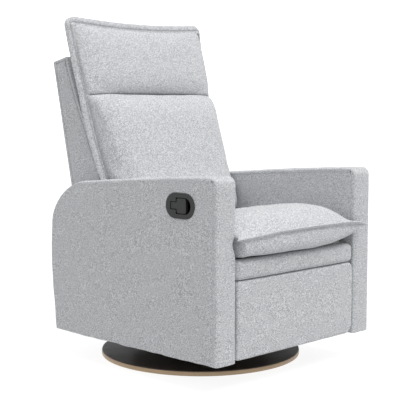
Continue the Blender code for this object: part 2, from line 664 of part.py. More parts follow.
def build_rear_panel(body):
    """The upholstered board between the arms, below the back."""
    half = INNER_X - TOUCH
    behind_pivot = REAR_PANEL_FRONT_Y - BACK_PIVOT[0]
    top_z = BACK_PIVOT[1] - sqrt((KNUCKLE_RADIUS + REAR_PANEL_GAP) ** 2 - behind_pivot**2)
    low = (-half, REAR_PANEL_FRONT_Y, BODY_BOTTOM_Z + REAR_PANEL_RISE)
    high = (half, REAR_PANEL_BACK_Y, top_z)
    finish(rounded_box(low, high, 0.004, 2), "rear_panel", body, "grey_fabric")


# ---------------------------------------------------------------- release handle
def paddle_places():
    """Where the stem's pin, the paddle's shoulder and the recess end lie along Y, from rear to front."""
    recess_rear = HANDLE_Y + RECESS_LENGTH / 2 - 0.013
    recess_front = recess_rear - RECESS_LENGTH
    stem_rear = recess_rear + STEM_LENGTH
    return stem_rear, recess_rear, recess_front


def build_handle_cup(body):
    """The oval bezel and the cup behind it, with a T-shaped recess for the paddle and the fingers."""
    stem_rear, recess_rear, recess_front = paddle_places()
    bezel = slab(handle_outline(BEZEL_LENGTH, BEZEL_HEIGHT), OUTER_X + TOUCH, BEZEL_PROUD, -1)
    cup_outline = handle_outline(
        BEZEL_LENGTH - 2 * BEZEL_RIM - 2 * TOUCH, BEZEL_HEIGHT - 2 * BEZEL_RIM - 2 * TOUCH
    )
    cup = slab(cup_outline, OUTER_X - CUP_DEPTH, CUP_DEPTH + TOUCH + BEZEL_PROUD / 2, -1)
    mouth_x = OUTER_X + BEZEL_PROUD + 0.01
    floor_x = OUTER_X - CUP_DEPTH + CUP_WALL
    half_height = RECESS_HEIGHT / 2
    nose = arc((recess_front + half_height, HANDLE_Z), half_height, 270, 90, 10)
    hollow_outline = [(recess_rear, HANDLE_Z - half_height), *nose, (recess_rear, HANDLE_Z + half_height)]
    hollow = slab(hollow_outline, floor_x, mouth_x - floor_x, -1)
    stem_half = STEM_HEIGHT / 2 + PADDLE_GAP
    low = (-mouth_x, recess_rear - 0.002, HANDLE_Z - stem_half)
    high = (-(OUTER_X - PADDLE_THICK - 0.008), stem_rear + PADDLE_GAP, HANDLE_Z + stem_half)
    shaped = cut(join(cup, bezel), hollow, box(low, high))
    pivot_pin = cylinder(handle_pivot(), HANDLE_PIN_RADIUS, 2 * stem_half + 0.004, "Z", 12)
    finish(join(shaped, pivot_pin), "handle_cup", body, "black_plastic")


def handle_pivot():
    """The vertical pin near the rear end of the paddle's stem."""
    stem_rear = paddle_places()[0]
    x = OUTER_X + BEZEL_PROUD - PADDLE_SINK - PADDLE_THICK / 2
    return (-x, stem_rear - HANDLE_PIN_SETBACK, HANDLE_Z)


def build_handle_paddle(body):
    """The T-shaped pull, bored for its pin."""
    stem_rear, recess_rear, _ = paddle_places()
    face = OUTER_X + BEZEL_PROUD - PADDLE_SINK
    stem_half = STEM_HEIGHT / 2
    wide_half = RECESS_HEIGHT / 2 - PADDLE_GAP
    shoulder = recess_rear - PADDLE_GAP
    tip = shoulder - PADDLE_LENGTH
    outline = [
        (stem_rear, HANDLE_Z - stem_half),
        (stem_rear, HANDLE_Z + stem_half),
        (shoulder, HANDLE_Z + stem_half),
        (shoulder, HANDLE_Z + wide_half - 0.004),
        (shoulder - 0.004, HANDLE_Z + wide_half),
        (tip + 0.003, HANDLE_Z + wide_half),
        (tip, HANDLE_Z + wide_half - 0.003),
        (tip, HANDLE_Z - wide_half + 0.003),
        (tip + 0.003, HANDLE_Z - wide_half),
        (shoulder - 0.004, HANDLE_Z - wide_half),
        (shoulder, HANDLE_Z - wide_half + 0.004),
        (shoulder, HANDLE_Z - stem_half),
    ]
    paddle = slab(outline, face - PADDLE_THICK, PADDLE_THICK, -1)
    bore = cylinder(handle_pivot(), HANDLE_PIN_RADIUS + PIN_FIT, 2 * STEM_HEIGHT, "Z", 12)
    finish(cut(paddle, bore), "handle_paddle", body, "black_plastic")


def build_release_cable(body):
    """The sheathed cable from the cup, down inside the arm and through to the latch."""
    cavity_x = -(INNER_X + ARM_WALL + ARM_BOARD_THICK + (ARM_THICK - 2 * ARM_WALL - ARM_BOARD_THICK) / 2)
    cup_bottom = HANDLE_Z - BEZEL_HEIGHT / 2 + BEZEL_RIM
    end_x = -(SEAT_RAIL_X - 0.004)
    route = [
        (cavity_x, HANDLE_Y, cup_bottom - TOUCH),
        (cavity_x, HANDLE_Y, cup_bottom - 0.020),
        (cavity_x, HANDLE_Y + 0.012, cup_bottom - 0.050),
        (cavity_x, (HANDLE_Y + CABLE_HOLE_Y) / 2, (cup_bottom + CABLE_HOLE_Z) / 2 - 0.010),
        (cavity_x, CABLE_HOLE_Y - 0.014, CABLE_HOLE_Z + 0.016),
        (cavity_x + 0.006, CABLE_HOLE_Y - 0.002, CABLE_HOLE_Z + 0.003),
        (cavity_x + 0.020, CABLE_HOLE_Y, CABLE_HOLE_Z),
        (end_x - 0.010, CABLE_HOLE_Y, CABLE_HOLE_Z),
        (end_x, CABLE_HOLE_Y, CABLE_HOLE_Z),
        (end_x + 0.016, CABLE_HOLE_Y + 0.006, CABLE_HOLE_Z - 0.004),
        (end_x + 0.021, LATCH_Y - LATCH_LENGTH + 0.004, RECLINER_MIDDLE_Z + 0.040),
    ]
    wire("release_cable", body, smooth_route(route, 0.008), CABLE_RADIUS, 2, "black_plastic")


def smooth_route(route, step):
    """Points about a step apart on a Catmull-Rom curve through the route."""
    knots = [Vector(p) for p in route]
    knots = [2 * knots[0] - knots[1], *knots, 2 * knots[-1] - knots[-2]]
    points = []
    for a, b, c, d in zip(knots, knots[1:], knots[2:], knots[3:]):
        pieces = max(2, ceil((c - b).length / step))
        for i in range(pieces):
            t = i / pieces
            slope, bend, twist = c - a, 2 * a - 5 * b + 4 * c - d, 3 * b - a - 3 * c + d
            points.append(0.5 * (2 * b + slope * t + bend * t * t + twist * t**3))
    points.append(knots[-2])
    return points


def build_latch(body):
    """The lever that the cable pulls to free the footrest."""
    at = (LATCH_Y, RECLINER_MIDDLE_Z)
    tip = (LATCH_Y - LATCH_LENGTH, RECLINER_MIDDLE_Z + 0.012)
    lever = slab(stadium(at, tip, 0.008, 6), UPPER_ARM_X, LINK_THICK, -1)
    bore = pin(at, LINK_PIN_RADIUS + PIN_FIT, UPPER_ARM_X - 0.01, UPPER_ARM_X + 0.02, -1)
    finish(cut(lever, bore), "latch_lever", body, "zinc_steel")


# ---------------------------------------------------------------- back
def back_front(along):
    """How far forward of the pivot's line the shell's edge is: two straight runs meeting at the seam."""
    if along < BACK_SEAM:
        share = (along - BACK_FRONT_LOW_AT) / (BACK_SEAM - BACK_FRONT_LOW_AT)
        return BACK_FRONT_LOW + (BACK_FRONT_SEAM - BACK_FRONT_LOW) * share
    share = (along - BACK_SEAM) / (BACK_SHELL_TOP - BACK_SEAM)
    return BACK_FRONT_SEAM + (BACK_FRONT_TOP - BACK_FRONT_SEAM) * share


def build_back_shell(body):
    """The upholstered tray behind the cushions, ending below in a round knuckle about the hinge."""
    lean = BACK_LEAN
    corner = 0.024
    top_rear = on_back(BACK_SHELL_TOP - corner, corner - KNUCKLE_RADIUS)
    top_front = on_back(BACK_SHELL_TOP - 0.010, BACK_FRONT_TOP - 0.010)
    levels = (BACK_FRONT_LOW_AT, BACK_SEAM, BACK_SHELL_TOP - 0.012)
    outer = [on_back(s, back_front(s)) for s in levels]
    outer += arc(top_front, 0.010, 180 - lean, 90 - lean, 2)[1:]
    outer += arc(top_rear, corner, 90 - lean, -lean, 4)
    outer += arc(BACK_PIVOT, KNUCKLE_RADIUS, -lean, -lean - 190, 16)
    shell = extruded(outer, "X", -BACK_HALF_WIDTH, BACK_HALF_WIDTH)
    wall = BACK_SHELL_WALL
    inner_radius = KNUCKLE_RADIUS - wall
    inner_top_rear = on_back(BACK_SHELL_TOP - corner, corner - KNUCKLE_RADIUS)
    inner = [on_back(BACK_SHELL_TOP - wall, BACK_FRONT_LOW + 0.10)]
    inner += arc(inner_top_rear, corner - wall, 90 - lean, -lean, 3)
    inner += arc(BACK_PIVOT, inner_radius, -lean, -lean - 150, 12)
    inner += [on_back(0.0, BACK_FRONT_LOW + 0.10)]
    inner_half = BACK_HALF_WIDTH - wall
    hollow = extruded(inner, "X", -inner_half, inner_half)
    pockets = []
    for side in (-1, 1):
        reach = KNUCKLE_RADIUS + 0.040
        low = (side * (RECLINER_X - 0.0015), BACK_PIVOT[0] - reach, BACK_PIVOT[1] - reach)
        high = (side * (INNER_X + 0.02), BACK_PIVOT[0] + 0.036, BACK_PIVOT[1] + 0.052)
        pockets.append(box(tuple(map(min, low, high)), tuple(map(max, low, high))))
    finish(cut(shell, hollow, *pockets), "back_shell", body, "grey_fabric")


def build_back_frame(body):
    """A wooden ladder inside the shell: two stiles and four rails."""
    rear = KNUCKLE_RADIUS - BACK_SHELL_WALL - TOUCH
    front = rear - BACK_STILE_THICK
    stile_outer = BACK_BRACKET_X - TOUCH
    stile_inner = stile_outer - BACK_STILE_WIDTH
    low = 0.010
    top = BACK_SHELL_TOP - 0.026

    def bar(s0, s1, x0, x1, inset=0.0):
        near, far = rear - inset, front + inset
        outline = [on_back(s0, -near), on_back(s0, -far), on_back(s1, -far), on_back(s1, -near)]
        return extruded(outline, "X", x0, x1)

    stiles = [bar(low, top, stile_inner, stile_outer), bar(low, top, -stile_outer, -stile_inner)]
    rail_width = 0.045
    reach = stile_inner + 0.005
    gap = (top - low - rail_width - 0.004) / 3
    starts = [low + 0.002 + gap * i for i in range(4)]
    rails = [bar(start, start + rail_width, -reach, reach, 0.001) for start in starts]
    finish(join(stiles[0], stiles[1], *rails), "back_frame", body, "frame_wood")


def build_back_brackets(body):
    """Steel straps from the ladder's stiles to the hinge pins."""
    rear = KNUCKLE_RADIUS - BACK_SHELL_WALL - TOUCH
    upper = on_back(0.130, BACK_STILE_THICK / 2 - rear)
    for side in (-1, 1):
        strap = slab(stadium(BACK_PIVOT, upper, BACK_BRACKET_HALF_WIDTH), BACK_BRACKET_X, LINK_THICK, side)
        bore = pin(BACK_PIVOT, BACK_PIN_RADIUS + PIN_FIT, BACK_BRACKET_X - 0.01, BACK_BRACKET_X + 0.02, side)
        finish(cut(strap, bore), f"back_bracket_{side_name(side)}", body, "zinc_steel")


def cushion_prism(front_rear, half_width, radius):
    """A block cushion from its side outline along the back, with rounded edges."""
    bm = extruded([on_back(s, n) for s, n in front_rear], "X", -half_width, half_width)
    bmesh.ops.bevel(bm, geom=bm.edges[:], offset=radius, segments=2, profile=0.5, affect="EDGES")
    return bm


def build_back_cushions(body):
    """The back cushion in front of the shell, and the headrest sewn to its top."""
    ease = 0.003
    half = BACK_HALF_WIDTH
    low, seam = BACK_CUSHION_LOW, BACK_SEAM
    lower = [
        (low, back_front(low) + ease),
        (low, BACK_CUSHION_FRONT_LOW),
        (seam - ease, BACK_CUSHION_FRONT_TOP),
        (seam - ease, back_front(seam) + ease),
    ]
    finish(cushion_prism(lower, half, 0.012), "back_cushion", body, "grey_fabric")
    upper = [
        (seam, back_front(seam) + ease),
        (seam, BACK_CUSHION_FRONT_TOP),
        ((seam + HEADREST_TOP) / 2, HEADREST_FRONT),
        (HEADREST_TOP, BACK_CUSHION_FRONT_TOP - 0.012),
        (HEADREST_TOP, BACK_FRONT_TOP + 0.030),
        (BACK_SHELL_TOP, BACK_FRONT_TOP + ease),
    ]
    finish(cushion_prism(upper, HEADREST_HALF_WIDTH, 0.012), "headrest_cushion", body, "grey_fabric")


# ---------------------------------------------------------------- footrest
def linkage_points():
    """The linkage's pivots when folded, as (forward, height): two parallelograms that share the main link."""
    tilt = radians(MAIN_LINK_TILT)
    down = Vector((-sin(tilt), -cos(tilt)))
    main = Vector(MAIN_PIVOT)
    guide = main + Vector((GUIDE_OFFSET, 0))
    main_end = main + MAIN_LINK_LENGTH * down
    bracket_low = Vector(BRACKET_PIVOT)
    rise = -down * BRACKET_SPAN
    return {
        "main": main,
        "guide": guide,
        "main_end": main_end,
        "guide_end": main_end + Vector((GUIDE_OFFSET, 0)),
        "main_mid": main_end + rise,
        "bracket_low": bracket_low,
        "bracket_high": bracket_low + rise,
    }


def link_plate(name, body, path, holes, pins, inner_x, side, extra=()):
    """A flat link about a path of points, with holes, and with rivets that reach into the next planes."""
    outlines = [stadium(ahead(p), ahead(q), LINK_HALF_WIDTH, 6) for p, q in zip(path, path[1:])]
    blades = [slab(outline, inner_x, LINK_THICK, side) for outline in outlines]
    plate = join(blades[0], *blades[1:]) if len(blades) > 1 else blades[0]
    hole_radius = LINK_PIN_RADIUS + PIN_FIT
    plate = cut(plate, *[pin(ahead(p), hole_radius, inner_x - 0.01, inner_x + 0.02, side) for p in holes])
    rivets = [pin(ahead(p), LINK_PIN_RADIUS, x0, x1, side) for p, x0, x1 in pins]
    if rivets or extra:
        plate = join(plate, *rivets, *extra)
    finish(plate, f"{name}_{side_name(side)}", body, "zinc_steel")


def build_footrest_linkage(bodies):
    """On each side: main and guide links, lower and upper arms, and the bracket on the board."""
    at = linkage_points()
    overlap = 0.001
    inner_reach = LOWER_ARM_X - PLATE_GAP / 2
    outer_reach = UPPER_ARM_X + LINK_THICK + PLATE_GAP / 2
    for side in (-1, 1):
        into_lower = (inner_reach, MAIN_LINK_X + overlap)
        into_upper = (MAIN_LINK_X + LINK_THICK - overlap, outer_reach)
        link_plate(
            "footrest_main_link",
            bodies["main_links"],
            [at["main"], at["main_end"]],
            [at["main"]],
            [(at["main_end"], *into_lower), (at["main_mid"], *into_upper)],
            MAIN_LINK_X,
            side,
        )
        link_plate(
            "footrest_guide_link",
            bodies["guide_links"],
            [at["guide"], at["guide_end"]],
            [at["guide"]],
            [(at["guide_end"], *into_lower)],
            MAIN_LINK_X,
            side,
        )
        link_plate(
            "footrest_lower_arm",
            bodies["lower_arms"],
            [at["guide_end"], at["main_end"], at["bracket_low"]],
            [at["guide_end"], at["main_end"], at["bracket_low"]],
            [],
            LOWER_ARM_X,
            side,
        )
        link_plate(
            "footrest_upper_arm",
            bodies["upper_arms"],
            [at["main_mid"], at["bracket_high"]],
            [at["main_mid"], at["bracket_high"]],
            [],
            UPPER_ARM_X,
            side,
        )
        flange_low = at["bracket_low"].y - LINK_HALF_WIDTH
        flange_high = at["bracket_high"].y
        board_back = FOOTREST_BOARD_BACK - TOUCH
        flange = slab(
            [
                (-board_back, flange_low),
                (-board_back, flange_high),
                (-at["bracket_high"].x, flange_high),
                (-at["bracket_low"].x, flange_low),
            ],
            MAIN_LINK_X,
            LINK_THICK,
            side,
        )
        foot = slab(
            [
                (-board_back, flange_low),
                (-board_back, flange_high),
                (-board_back + LINK_THICK, flange_high),
                (-board_back + LINK_THICK, flange_low),
            ],
            MAIN_LINK_X - BRACKET_FOOT_WIDTH,
            BRACKET_FOOT_WIDTH + LINK_THICK / 2,
            side,
        )
        link_plate(
            "ottoman_bracket",
            bodies["footrest"],
            [at["bracket_low"], at["bracket_high"]],
            [],
            [(at["bracket_low"], *into_lower), (at["bracket_high"], *into_upper)],
            MAIN_LINK_X,
            side,
            (flange, foot),
        )


def build_drive_tube(body):
    """The cross tube that makes the two main links swing together."""
    at = linkage_points()
    place = at["main"] + (at["main_end"] - at["main"]).normalized() * DRIVE_TUBE_DROP
    half = MAIN_LINK_X - TOUCH
    tube = cylinder((0, -place.x, place.y), DRIVE_TUBE_RADIUS, 2 * half, "X")
    finish(tube, "footrest_drive_tube", body, "black_steel")


def build_footrest_panel(body):
    """The board with the lower pad and the rolled upper pad on its face."""
    half = INNER_X - FOOTREST_SIDE_GAP
    inset = FOOTREST_BOARD_INSET
    board = box(
        (-half + inset, -FOOTREST_BOARD_FRONT, FOOTREST_BOTTOM_Z + inset),
        (half - inset, -FOOTREST_BOARD_BACK, FOOTREST_TOP_Z - inset),
    )
    finish(board, "footrest_board", body, "frame_wood")
    back = -FOOTREST_BOARD_FRONT - TOUCH
    low, high = (-half, -FOOTREST_FACE, FOOTREST_BOTTOM_Z), (half, back, FOOTREST_SEAM_Z - 0.001)
    pad = rounded_box(low, high, 0.010, 2)
    finish(pad, "footrest_pad", body, "grey_fabric")
    roll_half_height = (FOOTREST_TOP_Z - FOOTREST_SEAM_Z) / 2 - 0.0005
    middle_z = (FOOTREST_TOP_Z + FOOTREST_SEAM_Z) / 2
    steps = 8
    outline = [(back, middle_z - roll_half_height)]
    turns = [pi * i / steps for i in range(1, steps)]
    outline += [
        (back - FOOTREST_PAD_THICK * sin(a) ** 0.6, middle_z - roll_half_height * cos(a)) for a in turns
    ]
    outline += [(back, middle_z + roll_half_height)]
    roll_half = half - ROLL_END_SETBACK
    finish(extruded(outline, "X", -roll_half, roll_half), "footrest_roll", body, "grey_fabric")


# ---------------------------------------------------------------- assembly
def build_chair():
    for old in list(bpy.data.objects):
        bpy.data.objects.remove(old)
    at = linkage_points()

    def joint_at(point):
        return (0, -point.x, point.y)

    base = pivot("base", (0, 0, 0))
    swivel = pivot("swivel", (0, 0, SWIVEL_PLATE_Z), base)
    front_links = pivot("glider_links_front", (0, -GLIDER_LINK_SPREAD, GLIDER_PIVOT_Z), swivel)
    rear_links = pivot("glider_links_rear", (0, GLIDER_LINK_SPREAD, GLIDER_PIVOT_Z), swivel)
    chair = pivot("chair", (0, -GLIDER_LINK_SPREAD, CARRIAGE_PIVOT_Z), front_links)
    back = pivot("back", (0, *BACK_PIVOT), chair)
    handle = pivot("handle", handle_pivot(), chair)
    latch = pivot("latch", (0, LATCH_Y, RECLINER_MIDDLE_Z), chair)
    main_links = pivot("main_links", joint_at(at["main"]), chair)
    lower_arms = pivot("lower_arms", joint_at(at["main_end"]), main_links)
    linkage = {
        "main_links": main_links,
        "guide_links": pivot("guide_links", joint_at(at["guide"]), chair),
        "lower_arms": lower_arms,
        "upper_arms": pivot("upper_arms", joint_at(at["main_mid"]), main_links),
        "footrest": pivot("footrest", joint_at(at["bracket_low"]), lower_arms),
    }

    build_base(base)
    build_swivel(swivel)
    for side in (-1, 1):
        build_glider_link(front_links, "front", -GLIDER_LINK_SPREAD, side)
        build_glider_link(rear_links, "rear", GLIDER_LINK_SPREAD, side)
        build_arm(chair, side)
    build_carriage(chair)
    build_seat_frame(chair)
    build_recliner_plates(chair)
    build_seat_cushion(chair)
    build_rear_panel(chair)
    build_handle_cup(chair)
    build_release_cable(chair)
    build_handle_paddle(handle)
    build_latch(latch)
    build_back_shell(back)
    build_back_frame(back)
    build_back_brackets(back)
    build_back_cushions(back)
    build_footrest_linkage(linkage)
    build_drive_tube(main_links)
    build_footrest_panel(linkage["footrest"])


build_chair()
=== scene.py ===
"""Looks of a swivel glider recliner: padded pieces, base, materials, light and camera.

Metres, +Z up. The sitter faces -Y, the sitter's left arm is at +X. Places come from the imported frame's boxes.
"""
import json
from math import cos, pi, radians, sin

import bmesh
import bpy
import numpy as np
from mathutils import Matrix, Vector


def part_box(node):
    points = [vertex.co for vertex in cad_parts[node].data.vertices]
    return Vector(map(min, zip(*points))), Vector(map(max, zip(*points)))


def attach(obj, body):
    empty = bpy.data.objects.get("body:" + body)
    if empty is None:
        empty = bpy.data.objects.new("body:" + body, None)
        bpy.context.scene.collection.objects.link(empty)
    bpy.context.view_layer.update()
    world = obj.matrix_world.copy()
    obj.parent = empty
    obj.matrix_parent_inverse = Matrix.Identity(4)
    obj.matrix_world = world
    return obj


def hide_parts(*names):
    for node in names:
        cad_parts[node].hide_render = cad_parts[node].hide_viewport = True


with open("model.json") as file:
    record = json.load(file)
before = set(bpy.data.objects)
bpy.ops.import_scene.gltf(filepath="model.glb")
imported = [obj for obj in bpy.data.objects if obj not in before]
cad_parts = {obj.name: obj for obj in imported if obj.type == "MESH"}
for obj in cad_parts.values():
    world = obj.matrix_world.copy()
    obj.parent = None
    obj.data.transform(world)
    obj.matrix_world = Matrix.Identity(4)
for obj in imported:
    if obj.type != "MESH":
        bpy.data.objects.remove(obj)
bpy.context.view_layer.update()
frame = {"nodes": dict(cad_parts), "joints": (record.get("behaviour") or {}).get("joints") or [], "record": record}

# ---------------------------------------------------------------- places from the frame
ARM_LOW, ARM_HIGH = (np.array(c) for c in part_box("arm_cover_left"))
SEAT_LOW = np.array(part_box("seat_cushion")[0])
PAD_LOW, PAD_HIGH = (np.array(c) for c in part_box("footrest_pad"))
ROLL_LOW, ROLL_HIGH = (np.array(c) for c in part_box("footrest_roll"))
PANEL_LOW, PANEL_HIGH = (np.array(c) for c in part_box("rear_panel"))
SHELL_LOW, SHELL_HIGH = (np.array(c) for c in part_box("back_shell"))
CUP_LOW, CUP_HIGH = (np.array(c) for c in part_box("handle_cup"))
RAIL_LOW, RAIL_HIGH = (np.array(c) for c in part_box("seat_front_rail"))
BACK_PIVOT = np.array(next(j for j in frame["joints"] if j["name"] == "back_recline")["pos_m"])
BACK_LEAN = radians(12.0)

# ---------------------------------------------------------------- sizes
GRID = 0.006  # spacing of mesh points on large soft faces
SEAM_DEPTH = 0.0016
SEAM_HALF = 0.0016  # half width of a sewn seam's groove
LEAST_ROUND = 0.004  # of any corner ring
ARC_STEPS = 12  # points on each round corner
EDGE_STEPS = 25  # rings over each rounded edge

ARM_FRONT_ROUND = 0.024
ARM_REAR_ROUND = 0.140
ARM_FOOT_ROUND = 0.005
ARM_TOP_FALL = 0.052  # of the arm's top from front to rear
ARM_REAR_BULGE = 0.021
ARM_REAR_FOOT = 0.303  # rear edge at the foot
ARM_EDGE = 0.0125  # how deep the rounded edge reaches into each side
ARM_SEAM = 0.0145  # of the panel seam from the outline
ARM_FULLNESS = 4.5  # of the front strip across the arm, from round (2) to square
ARM_FOOT_SHARP = 0.85  # how much of the rounding is taken away along the foot
ARM_PLUMP = 0.0022  # how far the padding stands out past the hard box
ARM_SEAM_DEPTH = 0.0009
ARM_FRONT_PLUMP, ARM_FOOT_PLUMP = 0.003, 0.005  # past the hard box at the front and the foot
OUTER_SEAM = 0.35  # the outer panel seam is pulled flatter than the inner one
ARM_PINCH, ARM_PINCH_BACK = 0.0055, 0.0050  # how far the seat's ear dents the arm sideways and back
ARM_PINCH_RISE = 0.037  # of the dent's middle above the seat's foot
CUP_FLAT = 0.75  # share of the padding that is pressed flat around the handle
CUP_NEAR, CUP_FAR = 0.05, 0.16  # from the handle's middle, where the flat part begins to fade and where it ends
OPENING_RIM = 0.0008  # the bezel laps over the cloth's edge by this much

SHELL_REAR = -0.069  # behind the line through the pivot
SHELL_TOP = 0.574
SHELL_TOP_REAR = -0.076
SHELL_EDGE = 0.007
SHELL_SEAM = 0.016
SHELL_PANEL_RINGS = 24

RUMPLE = 0.0005  # of a pad's cloth, away from its border
SLIGHT_RUMPLE = 0.0006  # of the cloth drawn over the arms and the shell
PRESSURE, LAST_FRAME = 4.0, 20  # of the cloth that is blown up
BACK_SWELL, SEAT_SWELL = 0.0045, 0.0035  # the most that the blown cloth moves a pad's points

FLANGE_WIDTH = 0.0155
FLANGE_THICK = 0.006
FLANGE_EXTRA = 0.004  # makes up for what the subdivision takes off the edge


# ---------------------------------------------------------------- shape helpers
def smooth_line(at, values, where):
    """A smooth line through knots: a cubic between each two, whose end slopes are the knots' mean slopes."""
    at, values, where = (np.asarray(x, float) for x in (at, values, where))
    slopes = np.gradient(values, at)
    k = np.clip(np.searchsorted(at, where) - 1, 0, len(at) - 2)
    span = at[k + 1] - at[k]
    t = (where - at[k]) / span
    rise, run = 3 * t**2 - 2 * t**3, t - 2 * t**2 + t**3
    return (
        values[k] * (1 - rise)
        + values[k + 1] * rise
        + slopes[k] * span * run
        + slopes[k + 1] * span * (t**3 - t**2)
    )


def step(value, start, end):
    """0 before start and 1 after end, with a smooth rise between them."""
    t = np.clip((value - start) / (end - start), 0, 1)
    return t * t * (3 - 2 * t)


def hump(value, middle, half):
    """A bell that is 1 at middle and falls away over about half on each side."""
    return np.exp(-(((value - middle) / half) ** 2))


def ripple(points, size, seed, waves=14):
    """A smooth field of about unit height: sine waves in random directions, each about size long, added up."""
    draw = np.random.default_rng(seed)
    way = draw.normal(size=(waves, 3))
    way /= np.linalg.norm(way, axis=1, keepdims=True)
    rate = 2 * pi / (size * draw.uniform(0.7, 1.5, waves))
    phase = draw.uniform(0, 2 * pi, waves)
    return np.sin(points @ (way * rate[:, None]).T + phase).sum(-1) * (2 / waves) ** 0.5


def ringed(rings):
    """Faces over rings of points, each ring closed, and one middle point closing each end."""
    count, around = rings.shape[:2]
    index = np.arange(count * around).reshape(count, around)
    after = np.roll(index, -1, 1)
    quads = np.stack([index[:-1], index[1:], after[1:], after[:-1]], -1).reshape(-1, 4)
    first, last = count * around, count * around + 1
    ends = [
        np.stack([after[0], index[0], np.full(around, first)], -1),
        np.stack([index[-1], after[-1], np.full(around, last)], -1),
    ]
    points = np.concatenate([rings.reshape(-1, 3), rings[:1].mean(1), rings[-1:].mean(1)])
    return points, [quads, *ends]


def sheeted(upper, lower):
    """Faces over two grids of points that share their border."""
    rows, columns = upper.shape[:2]
    index = np.arange(rows * columns).reshape(rows, columns)
    quads = np.stack([index[:-1, :-1], index[1:, :-1], index[1:, 1:], index[:-1, 1:]], -1).reshape(-1, 4)
    points = np.concatenate([upper.reshape(-1, 3), lower.reshape(-1, 3)])
    return points, [quads, quads[:, ::-1] + rows * columns]


def fill_mesh(name, points, faces):
    """A mesh from whole arrays, with doubles merged and faces turned outwards."""
    mesh = bpy.data.meshes.new(name)
    corners = np.concatenate([f.ravel() for f in faces]).astype(np.int32)
    sizes = np.concatenate([np.full(len(f), f.shape[1]) for f in faces])
    mesh.vertices.add(len(points))
    mesh.vertices.foreach_set("co", np.ascontiguousarray(points, np.float32).ravel())
    mesh.loops.add(len(corners))
    mesh.loops.foreach_set("vertex_index", corners)
    mesh.polygons.add(len(sizes))
    mesh.polygons.foreach_set("loop_start", (np.cumsum(sizes) - sizes).astype(np.int32))
    mesh.update(calc_edges=True)
    mesh.validate()
    shape = bmesh.new()
    shape.from_mesh(mesh)
    bmesh.ops.remove_doubles(shape, verts=shape.verts, dist=1e-5)
    bmesh.ops.dissolve_degenerate(shape, edges=shape.edges, dist=1e-6)
    bmesh.ops.recalc_face_normals(shape, faces=shape.faces)
    shape.to_mesh(mesh)
    shape.free()
    mesh.shade_smooth()
    return mesh


def read_triples(items, key):
    """One array with a row of three values for each item."""
    found = np.empty(len(items) * 3, np.float32)
    items.foreach_get(key, found)
    return found.reshape(-1, 3)


def mesh_points(mesh):
    """The places of the mesh's points."""
    return read_triples(mesh.vertices, "co").astype(float)


def move_points(mesh, points):
    """Gives the mesh's points these places."""
    mesh.vertices.foreach_set("co", points.astype(np.float32).ravel())
    mesh.update()


def cloth_map(mesh):
    """A UV map in metres: each face is laid flat along the axis that it faces most."""
    count = len(mesh.loops)
    index = np.empty(count, np.int32)
    mesh.loops.foreach_get("vertex_index", index)
    sizes = np.empty(len(mesh.polygons), np.int32)
    mesh.polygons.foreach_get("loop_total", sizes)
    facing = np.repeat(np.abs(read_triples(mesh.polygons, "normal")).argmax(1), sizes)[:, None]
    corner = mesh_points(mesh)[index]
    from_front_or_top = np.where(facing == 1, corner[:, [0, 2]], corner[:, :2])
    flat = np.where(facing == 0, corner[:, [1, 2]], from_front_or_top)
    layer = mesh.uv_layers.new(name="cloth")
    layer.data.foreach_set("uv", flat.astype(np.float32).ravel())


def place(mesh, name, body, slot, finish, stands_for=(), seam=None):
    """Makes the piece's object, with its finish, its body and the nodes that it stands for."""
    mesh.name = name
    piece = bpy.data.objects.new(name, mesh)
    bpy.context.scene.collection.objects.link(piece)
    # the seam attribute marks painted shade: where the cloth's colour is darkened in seams and grooves
    if seam is not None:
        layer = mesh.attributes.new("seam", "FLOAT", "POINT")
        layer.data.foreach_set("value", np.clip(seam, 0, 1).astype(np.float32))
    cloth_map(mesh)
    mesh.materials.append(finish)
    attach(piece, body)
    if stands_for:
        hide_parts(*stands_for)
    return piece


def smoothed(piece):
    """The piece with one level of subdivision over it."""
    smooth = piece.modifiers.new("smooth", "SUBSURF")
    smooth.levels = smooth.render_levels = 1
    return piece


def swell(mesh, pinned, most):
    """Blows the closed mesh up as cloth with its pinned points held. No point moves further than most."""
    start = mesh_points(mesh)
    scene = bpy.context.scene
    bag = bpy.data.objects.new("bag", mesh.copy())
    scene.collection.objects.link(bag)
    group = bag.vertex_groups.new(name="held")
    group.add(np.flatnonzero(pinned).tolist(), 1.0, "REPLACE")
    cloth = bag.modifiers.new("cloth", "CLOTH")
    cloth.settings.use_pressure = True
    cloth.settings.uniform_pressure_force = PRESSURE
    cloth.settings.effector_weights.gravity = 0
    cloth.settings.vertex_group_mass = "held"
    cloth.point_cache.frame_start, cloth.point_cache.frame_end = 1, LAST_FRAME
    for frame_number in range(1, LAST_FRAME + 1):
        scene.frame_set(frame_number)
    grown = bag.evaluated_get(bpy.context.evaluated_depsgraph_get())
    end = mesh_points(grown.to_mesh())
    grown.to_mesh_clear()
    bpy.data.objects.remove(bag)
    scene.frame_set(1)
    move = end - start
    length = np.linalg.norm(move, axis=1, keepdims=True)
    return start + move * np.minimum(1, most / np.maximum(length, 1e-9))


# ---------------------------------------------------------------- materials
def node(tree, kind, **values):
    """A shader node. A value named like a socket sets that socket, and any other sets the node itself."""
    made = tree.nodes.new(kind)
    for key, value in values.items():
        socket = key.replace("_", " ")
        if socket in made.inputs:
            made.inputs[socket].default_value = value
        else:
            setattr(made, key, value)
    return made


def wire(tree, source, socket):
    """Links one socket to the next."""
    tree.links.new(source, socket)


def new_material(name, **values):
    """A material with its shader. Its named sockets get these values."""
    made = bpy.data.materials.new(name)
    made.use_nodes = True
    shader = made.node_tree.nodes["Principled BSDF"]
    for key, value in values.items():
        shader.inputs[key.replace("_", " ")].default_value = value
    return made, made.node_tree, shader


def object_place(tree):
    """The place in the piece's own metres."""
    return node(tree, "ShaderNodeTexCoord").outputs["Object"]


